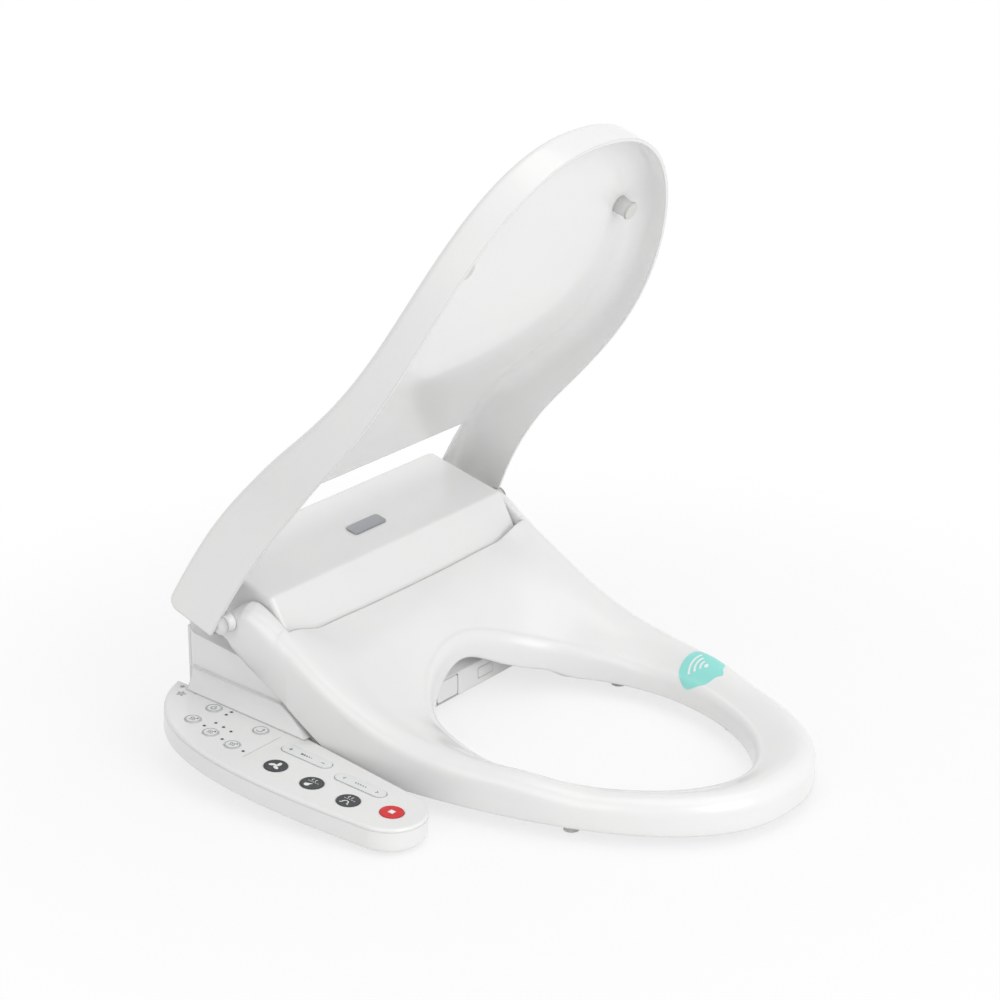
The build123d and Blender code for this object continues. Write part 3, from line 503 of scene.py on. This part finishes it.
# %% Seat plan and face
SEAT_SHOULDER, SEAT_HALF = -70.0, 174.0
HOLE_HALF, HOLE_FRONT, HOLE_BACK = 110.0, 155.0, 129.0
HOLE_POWER_FRONT, HOLE_POWER_BACK = 1.85, 2.15
EDGE_WIDTH, EDGE_POWER, EDGE_DROP, EDGE_DROP_GROWTH = 15.0, 2.3, 14.0, 6.0
DISH_CORNER, CROWN_CORNER, OUTER_CORNER = 6, 120, 300
RISE_START, RISE_WIDTH = 116.0, 42.0


def hole_reach(across, along):
    """Distance from the hole's centre to its edge: a superellipse, blunter at the back."""
    power = np.where(along < 0, HOLE_POWER_FRONT, HOLE_POWER_BACK)
    length = np.where(along < 0, HOLE_FRONT, HOLE_BACK)
    return ((across / HOLE_HALF) ** power + (np.abs(along) / length) ** power) ** (-1 / power)


def edge_reach(across, along, inset, corner):
    """Distance from the hole's centre to the outer edge, found by halving all directions at once.
    The plan is a superellipse with a straight rear; a higher corner power makes squarer rear corners."""
    low, high = np.zeros_like(across), np.full_like(across, 500.0)
    for _ in range(40):
        middle = (low + high) / 2
        ahead = np.clip(SEAT_SHOULDER - HOLE_CENTRE - middle * along, 0, None)
        ahead = ahead / (SEAT_SHOULDER - SEAT_NOSE - inset)
        inside = (middle * across / (SEAT_HALF - inset)) ** EDGE_POWER + ahead ** EDGE_POWER
        inside += (np.clip(middle * along, 0, None) / (APRON_END - HOLE_CENTRE)) ** corner
        low, high = np.where(inside < 1, middle, low), np.where(inside < 1, high, middle)
    return low


def seat_face(x, y):
    """Height of the upper face: the crown's height at that y, less a dish that fades out from the
    lip, in half a wave in front and a quarter wave behind, less a quarter ellipse outside, plus a
    rise to the arms."""
    reach = np.hypot(x, y - HOLE_CENTRE)
    across, along = np.abs(x) / reach, (y - HOLE_CENTRE) / reach
    hole, dish = hole_reach(across, along), edge_reach(across, along, EDGE_WIDTH, DISH_CORNER)
    crown = edge_reach(across, along, EDGE_WIDTH, CROWN_CORNER)
    outer = edge_reach(across, along, 0, OUTER_CORNER)
    lip_x, lip_y = hole * across, HOLE_CENTRE + hole * along
    t = np.clip((reach - hole + 4) / (dish - hole + 4), 0, 1)
    behind = smooth((along - 0.05) / 0.5)
    front_wave, rear_wave = 0.5 - 0.5 * np.cos(np.pi * t), np.sin(np.pi * t / 2)
    wave = t + 0.6 * (1 - behind) * (front_wave - t) + 0.8 * behind * (rear_wave - t)
    depth = (crown_height(lip_y) - lip_height(lip_x, lip_y)) * (1 - wave)
    past = np.clip((reach - crown) / np.maximum(outer - crown, 1e-6), 0, 1)
    fall = (EDGE_DROP + EDGE_DROP_GROWTH * smooth((y + 130) / 75)) * (1 - np.sqrt(1 - past ** 2))
    rise = (seat_crown(y) - crown_height(y)) * smooth((np.abs(x) - RISE_START) / RISE_WIDTH)
    return crown_height(y) - depth - fall + rise


print("face beside the hole", round(float(seat_face(np.array([140.0]), np.array([HOLE_CENTRE]))[0]), 1))


# %% [markdown]
# The ring itself is a grid: rows are directions round the hole, and columns run round the
# section, up over the lip, across the face, round the outer edge and back underneath. Both
# lower edges have one small profile, given as steps into the wall and up. Two directions are
# moved to hit the rear corners, so that the corners are points of the mesh.

# %% Seat
LIP_RADIUS, LIP_DROP, LIP_LEAST = 8.0, 9.0, 3.5
LOWER_EDGE = ((2.8, 2), (2.6, 0), (1.2, 0), (0.3, 0.7), (0, 2.5))
TOP_COLUMNS = slice(8, 50)


def seat_section():
    """Grid of the ring: each column is a distance from the hole's centre and a height, all directions."""
    angle = np.linspace(-np.pi / 2, 1.5 * np.pi, 720, endpoint=False)
    corner = math.atan2(SEAT_REAR - HOLE_CENTRE, SEAT_HALF)
    angle[np.argmin(np.abs(angle - corner))] = corner
    angle[np.argmin(np.abs(angle - np.pi + corner))] = np.pi - corner
    cosine, along = np.cos(angle), np.sin(angle)
    across = np.abs(cosine)
    hole = hole_reach(across, along)
    rear = np.where(along > 0.05, (SEAT_REAR - HOLE_CENTRE) / np.maximum(along, 0.05), 1e4)
    crown = edge_reach(across, along, EDGE_WIDTH, CROWN_CORNER)
    outer = edge_reach(across, along, 0, OUTER_CORNER)

    def face(reach):
        """Height of the upper face at a distance in every direction."""
        return seat_face(reach * cosine, HOLE_CENTRE + reach * along)

    hole_x, hole_y = hole * cosine, HOLE_CENTRE + hole * along
    arch = (ARCH_FOOT + ARCH_RISE * np.exp(-(hole_x / ARCH_WIDTH) ** 2)) * (hole_y > HOLE_CENTRE)
    low = seat_underside(hole_y)
    low = low + np.clip(arch - low, 0, None) * smooth((95 - np.abs(hole_x)) / 20)
    lip_low = np.maximum(lip_height(hole_x, hole_y) - LIP_DROP, low + LIP_LEAST)
    columns = [(hole + inward, low + up) for inward, up in LOWER_EDGE]
    lip_top = face(hole + LIP_RADIUS)
    for turn in np.radians(np.linspace(0, 90, 10)):
        lip_rise = (lip_top - lip_low) * np.sin(turn)
        columns.append((hole + LIP_RADIUS * (1 - np.cos(turn)), lip_low + lip_rise))
    top = np.minimum(crown, rear)
    for share in np.linspace(0, 1, 26)[1:]:
        reach = hole + LIP_RADIUS + (top - hole - LIP_RADIUS) * share
        columns.append((reach, face(reach)))
    for turn in np.radians(np.linspace(0, 90, 13)[1:]):
        reach = np.minimum(crown + (outer - crown) * np.sin(turn), rear)
        columns.append((reach, face(reach)))
    outer = np.minimum(outer, rear)
    under = seat_underside(HOLE_CENTRE + outer * along)
    columns.append((outer, under + 0.5 * (face(outer) - under)))
    columns += [(outer - inward, under + up) for inward, up in reversed(LOWER_EDGE)]
    reach, height = (np.stack([c[i] for c in columns], axis=1) for i in range(2))
    return np.stack([reach * cosine[:, None], HOLE_CENTRE + reach * along[:, None], height], -1)


ring = seat_section()
ring_faces = grid_faces(*ring.shape[:2], close_rows=True, close_columns=True).reshape(-1, 4)
seat = piece("seat_moulding", ring, ring_faces, "seat", abs_gloss, sharp=55)
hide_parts("seat_top")


# %% [markdown]
# Two arms carry the seat back to the hinge. From the side each is a bar that climbs, swells
# into a rounded hump and ends in a heel under the pin. The side outline is drawn once and
# carried across the arm's width. Towards the outside it draws in along a quarter ellipse,
# much like the ring's edge. Its front end lies just under the ring's skin and comes out of it
# at a small angle, so ring and arm read as one moulding.

# %% Seat arms
ARM_FRONT, ARM_INNER, ARM_OUTER, ARM_ROUND = -100.0, 158.6, 174.0, 2.8
ARM_DROP, ARM_DROP_LOSS, FOOT_SHARE = 18.8, 6.0, 0.08


def arm_outline():
    """Closed side outline (y, z), its middle line, and each point's share of drawing in."""
    y = np.array([ARM_FRONT, SEAT_REAR])
    bar = np.column_stack([y, seat_crown(y) + np.array([-1.2, 0.2])])
    hump = [(-70, 121.2), (-62, 126.6), (-54, 131.6), (-45, 135.9), (-39.5, 136.6), (-34.5, 135.6),
            (-21, 128.0)]
    heel = [(-12.6, 115.7), (-13.2, 106.5), (-19, 101.6)]
    over = curve_through(np.concatenate([bar, hump, heel]), 6)
    y = np.linspace(-26, ARM_FRONT, 16)
    foot = np.column_stack([y, seat_underside(y) + 0.3])
    outline = np.concatenate([over, foot])
    middle_y = np.clip(outline[:, 0], None, -36)
    spine = np.column_stack([middle_y, (seat_crown(middle_y) + seat_underside(middle_y)) / 2 - 2])
    share = 1 - 0.8 * smooth((over[:, 0] + 36) / 20) * (over[:, 1] < 135.5)
    return outline, spine, np.concatenate([share, np.full(len(foot), FOOT_SHARE)])


def arm_grid():
    """Outline at stations across the width, drawn in towards the middle line at both edges."""
    outline, spine, share = arm_outline()
    turn = np.radians(np.linspace(0, 90, 12))
    start = [ARM_INNER, ARM_INNER + 0.5, ARM_INNER + 1.4]
    rest = ARM_INNER + ARM_ROUND + (ARM_OUTER - ARM_INNER - ARM_ROUND) * np.sin(turn)
    across = np.concatenate([start, rest])
    past = np.clip((across - SEAT_HALF + EDGE_WIDTH) / EDGE_WIDTH, 0, 1)
    inner = np.clip(1 - (across - ARM_INNER) / ARM_ROUND, 0, 1)
    fall = (ARM_DROP - ARM_DROP_LOSS * smooth((outline[:, 0] + 76) / 35)) * share
    drawn = fall[None, :] * (1 - np.sqrt(1 - past ** 2))[:, None]
    drawn += ARM_ROUND * (1 - np.sqrt(1 - inner ** 2))[:, None]
    way = spine - outline
    length = np.linalg.norm(way, axis=1)
    moved = outline[None] + way[None] * np.minimum(drawn / length, 0.8)[..., None]
    past_ring = outline[:, 0] - SEAT_REAR
    flare = 0.3 + 2.7 * smooth(past_ring / 40) - 1.1 * smooth(-past_ring / 25)
    flare = flare[None, :] * ((across - ARM_INNER) / (ARM_OUTER - ARM_INNER))[:, None]
    return np.concatenate([(across[:, None] + flare)[..., None], moved], axis=-1)


arm = arm_grid()
count = arm.shape[1]
arm_faces = [list(f) for f in grid_faces(*arm.shape[:2], close_columns=True).reshape(-1, 4)]
arm_faces += [list(range(count))[::-1], list(range((len(arm) - 1) * count, len(arm) * count))]
twin_faces = [[n + arm[..., 0].size for n in reversed(f)] for f in arm_faces]
arm_points = np.concatenate([arm.reshape(-1, 3), (arm * np.array([-1, 1, 1])).reshape(-1, 3)])
piece("seat_arms", arm_points, arm_faces + twin_faces, "seat", abs_gloss, sharp=60)


# %% [markdown]
# A round label lies on the ring: turquoise film with a small tail, and white waves that stand
# for a sensor. It takes its height from the seat's face, so it lies on the moulding without a
# gap. Its border goes down into the face, which closes it.

# %% Seat label
LABEL_X, LABEL_Y, LABEL_RADIUS = 127.5, -291.0, 19.5
TAIL_DIRECTION, TAIL_LENGTH, TAIL_HALF = 262, 4.5, 0.26
label_film = moulded("pet_film_turquoise_printed", "#8ADFD6", 0.35, "#9CE2DC", 8, 0.02)
label_white = moulded("white_screen_print", "#F2F5F5", 0.4, "#E9EEEE", 3, 0.01)


def ring_height(x, y):
    """Height of the ring's mesh: between the two nearest directions and the two nearest columns."""
    top = ring[:, TOP_COLUMNS]
    turn = (np.arctan2(y - HOLE_CENTRE, x) + np.pi / 2) % (2 * np.pi) / (2 * np.pi) * len(ring)
    reach, share = np.hypot(x, y - HOLE_CENTRE)[..., None], turn - np.floor(turn)

    def along_row(row):
        """Height at the wanted distance on one direction's line of points."""
        line = top[row]
        far = np.hypot(line[..., 0], line[..., 1] - HOLE_CENTRE)
        at = np.clip((far < reach).sum(-1) - 1, 0, far.shape[-1] - 2)[..., None]
        near, next_far = (np.take_along_axis(far, at + i, -1)[..., 0] for i in (0, 1))
        low, high = (np.take_along_axis(line[..., 2], at + i, -1)[..., 0] for i in (0, 1))
        return low + (high - low) * (reach[..., 0] - near) / np.maximum(next_far - near, 1e-6)

    first = np.floor(turn).astype(int) % len(ring)
    return along_row(first) * (1 - share) + along_row((first + 1) % len(ring)) * share


def laid_on_seat(x, y, lift):
    """Points in plan brought to the seat's face and lifted off it."""
    return np.stack([x, y, ring_height(x, y) + lift], -1)


def label_grid(lift, sink):
    """Disc with a pointed tail, its radius given by direction: rings from the middle out, then sunk."""
    angle = np.radians(np.arange(0, 360, 3))
    from_tail = np.abs(np.angle(np.exp(1j * (angle - math.radians(TAIL_DIRECTION)))))
    tail = TAIL_LENGTH * np.clip(1 - from_tail / TAIL_HALF, 0, None) ** 1.3
    share = np.linspace(0, 1, 14)[:, None]
    x = LABEL_X + share * (LABEL_RADIUS + tail) * np.cos(angle)
    y = LABEL_Y + share * (LABEL_RADIUS * 1.02 + tail) * np.sin(angle)
    over = laid_on_seat(x, y, lift)
    return np.concatenate([over, laid_on_seat(x, y, -sink)[::-1]])


label = label_grid(0.3, 0.8)
label_faces = grid_faces(*label.shape[:2], close_columns=True).reshape(-1, 4)
piece("seat_label", label, label_faces, "seat", label_film, sharp=50)


# %% [markdown]
# Printed marks are thin ribbons of paint. A ribbon follows a line drawn in plan, with a small
# height, and closes on itself all round. Filled marks are outlines with a top and a bottom.
# Both are gathered by the surface they lie on, so each key carries its own mark.

# %% Helpers for printed marks
def ribbon(path, width, place, closed=False):
    """Ribbon along a plan line: four rows, two below and two above, half the width to each side."""
    path = np.asarray(path, float)
    if closed:
        along = np.roll(path, -1, 0) - np.roll(path, 1, 0)
    else:
        along = np.gradient(path, axis=0)
    along /= np.linalg.norm(along, axis=1, keepdims=True)
    side = np.column_stack([-along[:, 1], along[:, 0]]) * width / 2
    rows = [(path + side, 0), (path + side, 1), (path - side, 1), (path - side, 0)]
    grid = np.stack([place(p[:, 0], p[:, 1], level) for p, level in rows], axis=1)
    faces = grid_faces(*grid.shape[:2], close_rows=closed, close_columns=True).reshape(-1, 4).tolist()
    if not closed:
        end = grid.shape[0] * 4
        faces += [[3, 2, 1, 0], [end - 4, end - 3, end - 2, end - 1]]
    return grid.reshape(-1, 3), faces


def patch(outline, place):
    """Filled mark: its outline below and above, with a face over each."""
    outline = np.asarray(outline, float)
    grid = np.stack([place(outline[:, 0], outline[:, 1], level) for level in (0, 1)])
    count = len(outline)
    faces = [list(f) for f in grid_faces(2, count, close_columns=True).reshape(-1, 4)]
    return grid.reshape(-1, 3), faces + [list(range(count)), list(range(2 * count - 1, count - 1, -1))]


def arc(x, y, radius, start, end, steps=24):
    """Points on a circle between two directions in degrees."""
    angle = np.radians(np.linspace(start, end, steps))
    return np.column_stack([x + radius * np.cos(angle), y + radius * np.sin(angle)])


def oval(x, y, long, short, turn, steps=20):
    """Closed ellipse about a point, its long axis turned by an angle in degrees."""
    angle = np.linspace(0, 2 * np.pi, steps, endpoint=False)
    u, v, a = long * np.cos(angle), short * np.sin(angle), math.radians(turn)
    return np.column_stack([x + u * math.cos(a) - v * math.sin(a), y + u * math.sin(a) + v * math.cos(a)])


def gathered(name, marks, body, material):
    """Several marks as one piece."""
    start = np.cumsum([0] + [len(points) for points, _ in marks])
    faces = [[n + s for n in f] for (_, group), s in zip(marks, start) for f in group]
    points = np.concatenate([points for points, _ in marks])
    return piece(name, points, faces, body, material, sharp=40)


print("an arc of a quarter turn has", len(arc(0, 0, 1, 0, 90)), "points")


# %% [markdown]
# The label carries three arcs and a dot, the common sign for a sensor. They are printed in
# white, so each is a thin layer that follows the label and stands a little above it.

# %% Marks on the seat label
def on_label(x, y, level):
    """Place a mark on the label, a little proud of its film."""
    return laid_on_seat(x, y, 0.2 + 0.25 * level)


WAVE_X, WAVE_Y = 128.0, -295.0
waves = [ribbon(arc(WAVE_X, WAVE_Y, radius, 48, 132), 1.9, on_label) for radius in (5.2, 10.0, 14.8)]
waves.append(patch(oval(WAVE_X, WAVE_Y, 1.9, 1.9, 0), on_label))
gathered("seat_label_waves", waves, "seat", label_white)


# %% [markdown]
# The control wing has white symbols on dark keys and thin grey ones on white keys. Places are
# given on the wing's own sloping plane, in millimetres, as its keys are.

# %% Plane of the wing
WING_X, WING_Y, WING_Z, WING_SLOPE = -220.0, -106.0, 35.5, math.radians(4.4)
KEY_TOP, PAINT, PAINT_SINK = 0.5, 0.12, 0.05
LARGE_KEYS = {"dry_key": (-6.4, -10.0), "rear_wash_key": (-8.0, -49.5),
              "front_wash_key": (-9.5, -88.5), "stop_key": (0.0, -125.0)}
SMALL_KEYS = {"power_key": (32.5, 92.5), "water_heat_key": (6.4, 92.0), "seat_heat_key": (-0.6, 66.0),
              "air_heat_key": (-4.0, 39.0), "deodorise_key": (30.0, 38.5)}
ROCKERS = {"position_rocker": (22.5, -18.0), "pressure_rocker": (16.0, -80.0)}
ink_grey = moulded("grey_screen_print", "#5A5C5F", 0.5, "#505255", 3, 0.01)
ink_pale = moulded("pale_grey_screen_print", "#B4B6B8", 0.5, "#A9ABAD", 3, 0.01)


def on_wing(height):
    """Function that places marks at a height over the wing's plane: a turn about the width."""
    def place(x, y, level):
        """Points in plan at the paint's lower side (level 0) or upper side (level 1)."""
        z = height - PAINT_SINK + (PAINT + PAINT_SINK) * level
        return np.stack([WING_X + x, WING_Y + y * math.cos(WING_SLOPE) - z * math.sin(WING_SLOPE),
                         WING_Z + y * math.sin(WING_SLOPE) + z * math.cos(WING_SLOPE)], -1)
    return place


on_key, on_cover = on_wing(KEY_TOP), on_wing(0.0)
print("keys with marks", len(LARGE_KEYS) + len(SMALL_KEYS) + len(ROCKERS))


# %% [markdown]
# The symbols are put together from a few ribbons and filled shapes: a fan to dry, a spray to
# wash, a square to stop, and thin rings with a sign inside on the small keys.

# %% Marks on the round keys
def dashes(x, y, long, gap, amount):
    """Row of short ribbons along the wing."""
    starts = y + (np.arange(amount) - (amount - 1) / 2) * (long + gap)
    return [ribbon([(x, s - long / 2), (x, s + long / 2)], 0.55, on_key) for s in starts]


def large_marks(name, x, y):
    """White symbol of a large key: fan, spray, arch with spray, or square."""
    if name == "dry_key":
        blades = [oval(x + 3.4 * math.cos(a), y + 3.4 * math.sin(a), 3.0, 1.7, math.degrees(a) + 28)
                  for a in np.radians((100, 220, 340))]
        return [patch(b, on_key) for b in blades] + [patch(oval(x, y, 1.5, 1.5, 0), on_key)]
    if name == "stop_key":
        square = np.array([(-1, -1), (1, -1), (1, 1), (-1, 1)]) * 2.4
        return [patch(square + (x, y), on_key)]
    spray = dashes(x + 1.6, y, 1.5, 0.8, 5)
    spray += [ribbon(arc(x + 4.6, y + side, 1.5, 20, 160, 10), 0.6, on_key) for side in (-1.7, 1.7)]
    if name == "rear_wash_key":
        drop = np.concatenate([arc(x - 4.4, y + 1.8, 2.4, 60, 300, 16), [(x - 0.6, y - 1.6)]])
        return spray + [patch(drop, on_key)]
    arch = np.concatenate([[(x - 6.2, y + 4.2)], arc(x - 4.0, y, 2.6, 110, -110, 18), [(x - 6.2, y - 4.2)]])
    return spray + [ribbon(arch, 0.9, on_key)]


def small_marks(name, x, y):
    """Thin ring of a small key and a simple sign inside it: rising heat, waves or an arc."""
    marks = [ribbon(arc(x, y, 6.0, 0, 360, 49)[:-1], 0.3, on_key, closed=True)]
    if name == "power_key":
        marks.append(ribbon(arc(x - 0.6, y, 2.2, 40, 320), 0.5, on_key))
        marks.append(ribbon([(x + 0.6, y), (x + 3.4, y)], 0.6, on_key))
    elif name == "deodorise_key":
        marks.append(ribbon(arc(x - 0.5, y + 0.4, 2.6, 120, 330), 0.5, on_key))
        marks.append(patch(oval(x + 2.2, y - 1.8, 0.8, 0.8, 0), on_key))
    else:
        line = np.linspace(-2.4, 2.4, 16)
        for shift in (-1.6, 0.2, 2.0):
            heat = np.column_stack([x + line, y + shift + 0.5 * np.sin(line * 1.6)])
            marks.append(ribbon(heat, 0.4, on_key))
        marks.append(patch(oval(x + 3.0, y - 2.6, 1.0, 0.7, 40), on_key))
    return marks


for name, (x, y) in LARGE_KEYS.items():
    gathered(name + "_mark", large_marks(name, x, y), name, label_white)
for name, (x, y) in SMALL_KEYS.items():
    gathered(name + "_mark", small_marks(name, x, y), name, ink_grey)

# %% [markdown]
# Each long key has a sign at either end and a row of dots that tells the direction. On the
# cover there is a thin line between the two groups of keys, and a few small blossoms.

# %% Marks on the long keys and on the cover
for name, (x, y) in ROCKERS.items():
    size = [1.15, 0.95, 0.8, 0.65, 0.5] if name == "position_rocker" else [0.7] * 5
    marks = [patch(oval(x, y + 5.0 - 2.5 * i, s, s, 0, 14), on_key) for i, s in enumerate(size)]
    if name == "position_rocker":
        marks += [ribbon([(x - 1.7, y + 17), (x + 1.7, y + 17)], 0.6, on_key)]
        marks += [ribbon([(x, y + s - 1.7), (x, y + s + 1.7)], 0.6, on_key) for s in (17, -17)]
    else:
        tips = [[(x - 1.5, y + s * 16), (x, y + s * 17.8), (x + 1.5, y + s * 16)] for s in (1, -1)]
        marks += [ribbon(tip, 0.6, on_key) for tip in tips]
    gathered(name + "_mark", marks, name, ink_grey)

line = ribbon([(-13.5, 19.3), (33.0, 19.3)], 0.35, on_cover)
gathered("cover_line", [line], "housing", ink_pale)
blossoms = []
for x, y, size in ((33.0, 130.0, 2.6), (43.0, 138.0, 1.5), (41.5, 121.5, 1.2)):
    for turn in np.radians(np.arange(5) * 72 + 10):
        petal_x, petal_y = x + size * math.cos(turn), y + size * math.sin(turn)
        petal = oval(petal_x, petal_y, size * 0.72, size * 0.45, math.degrees(turn), 12)
        blossoms.append(patch(petal, on_cover))
gathered("cover_blossoms", blossoms, "housing", ink_pale)


# %% [markdown]
# Warm air leaves through an opening in the front of the base, beside the nozzle. A small
# flap closes it, flush with the wall, and leaves only a hairline round it.

# %% Dryer flap
FLAP_X, FLAP_Z, FLAP_WIDE, FLAP_HIGH = 54.0, 18.5, 10.3, 4.8
FLAP_FRONT, FLAP_DEEP, FLAP_CORNER = -113.0, 1.6, 1.5


def in_base_front(x, z, level):
    """Place an outline drawn on the base's front wall, from its face inwards."""
    return np.stack([x, np.full_like(x, FLAP_FRONT + FLAP_DEEP * level), z], -1)


def rounded_side(wave, half):
    """One coordinate of a rounded box: the corner's centre on that side, and the corner's arc."""
    return np.clip(np.sign(wave) * (half - FLAP_CORNER) + FLAP_CORNER * wave, -half, half)


angle = np.radians(np.linspace(0, 360, 32, endpoint=False))
flap = np.column_stack([FLAP_X + rounded_side(np.cos(angle), FLAP_WIDE),
                        FLAP_Z + rounded_side(np.sin(angle), FLAP_HIGH)])
gathered("dryer_flap", [patch(flap, in_base_front)], "housing", abs_gloss)

# %% [markdown]
# The ground is white, with a pale floor that keeps the contact shadow. Near the object the
# floor is partly lit and partly plain white, further out it is plain white, so it runs into
# the background without an edge.

# %% Floor
FLOOR_HALF = 6.0


def seen_or_mirrored(tree):
    """One for rays from the camera and for reflections, nought for light that falls on the object."""
    ray = add_node(tree, "ShaderNodeLightPath")
    either = {0: ray.outputs["Is Camera Ray"], 1: ray.outputs["Is Glossy Ray"]}
    return add_node(tree, "ShaderNodeMath", None, either, operation="MAXIMUM").outputs[0]


def stage_floor():
    """Flat square just under the pads: matt where the shadow falls, plain white further out."""
    corners = np.array([(-1, -1), (1, -1), (1, 1), (-1, 1)]) * FLOOR_HALF
    points = np.column_stack([corners, np.full(4, -0.0005)])
    mesh = bpy.data.meshes.new("floor")
    mesh.from_pydata(points.tolist(), [], [(0, 1, 2, 3)])
    floor = bpy.data.objects.new("floor", mesh)
    scene.collection.objects.link(floor)
    material, tree, shader = surface("pale_floor_matt", {"Base Color": linear("#F4F4F4"), "Roughness": 0.9})
    place = add_node(tree, "ShaderNodeTexCoord")
    away = add_node(tree, "ShaderNodeVectorMath", {1: (0.0, -0.2, 0.0)}, {0: place.outputs["Object"]},
                    operation="DISTANCE")
    fade = add_node(tree, "ShaderNodeMapRange",
                    {"From Min": 0.25, "From Max": 0.75, "To Min": 0.72, "To Max": 1.0},
                    {"Value": away.outputs["Value"]}, interpolation_type="SMOOTHSTEP")
    share = add_node(tree, "ShaderNodeMath", None, {0: fade.outputs["Result"], 1: seen_or_mirrored(tree)},
                     operation="MULTIPLY")
    white = add_node(tree, "ShaderNodeEmission", {"Color": (1, 1, 1, 1), "Strength": 1.0})
    mix = add_node(tree, "ShaderNodeMixShader", None,
                   {0: share.outputs[0], 1: shader.outputs["BSDF"], 2: white.outputs["Emission"]})
    tree.links.new(mix.outputs["Shader"], tree.nodes["Material Output"].inputs["Surface"])
    floor.data.materials.append(material)


stage_floor()
print("floor", 2 * FLOOR_HALF, "m wide")


# %% [markdown]
# A product on a white ground is lit softly: a broad lamp in front, weaker ones above and at
# the left. The world is white to the camera and in reflections, and dimmer as a light.

# %% Lamps and background
def lamp(name, place, aim, size, power):
    """Square area lamp that faces a point."""
    light = bpy.data.lights.new(name, "AREA")
    light.size = size
    light.energy = power
    holder = bpy.data.objects.new(name, light)
    holder.location = place
    holder.rotation_euler = (Vector(aim) - Vector(place)).to_track_quat("-Z", "Y").to_euler()
    scene.collection.objects.link(holder)


LAMP_AIM = (0, -0.2, 0.2)
lamp("soft_top", (0.3, -0.8, 2.6), LAMP_AIM, 2.2, 14)
lamp("soft_left", (-2.4, -0.4, 1.4), LAMP_AIM, 1.6, 8)
lamp("soft_front", (-0.4, -2.7, 1.4), LAMP_AIM, 1.8, 27)

world = bpy.data.worlds.new("white_ground")
scene.world = world
world.use_nodes = True
sky = world.node_tree
level = add_node(sky, "ShaderNodeMapRange", {"To Min": 0.6, "To Max": 1.0}, {"Value": seen_or_mirrored(sky)})
back = sky.nodes["Background"]
back.inputs["Color"].default_value = (1, 1, 1, 1)
sky.links.new(level.outputs["Result"], back.inputs["Strength"])
scene.view_settings.view_transform = "Standard"
print("lamps", len(bpy.data.lights))
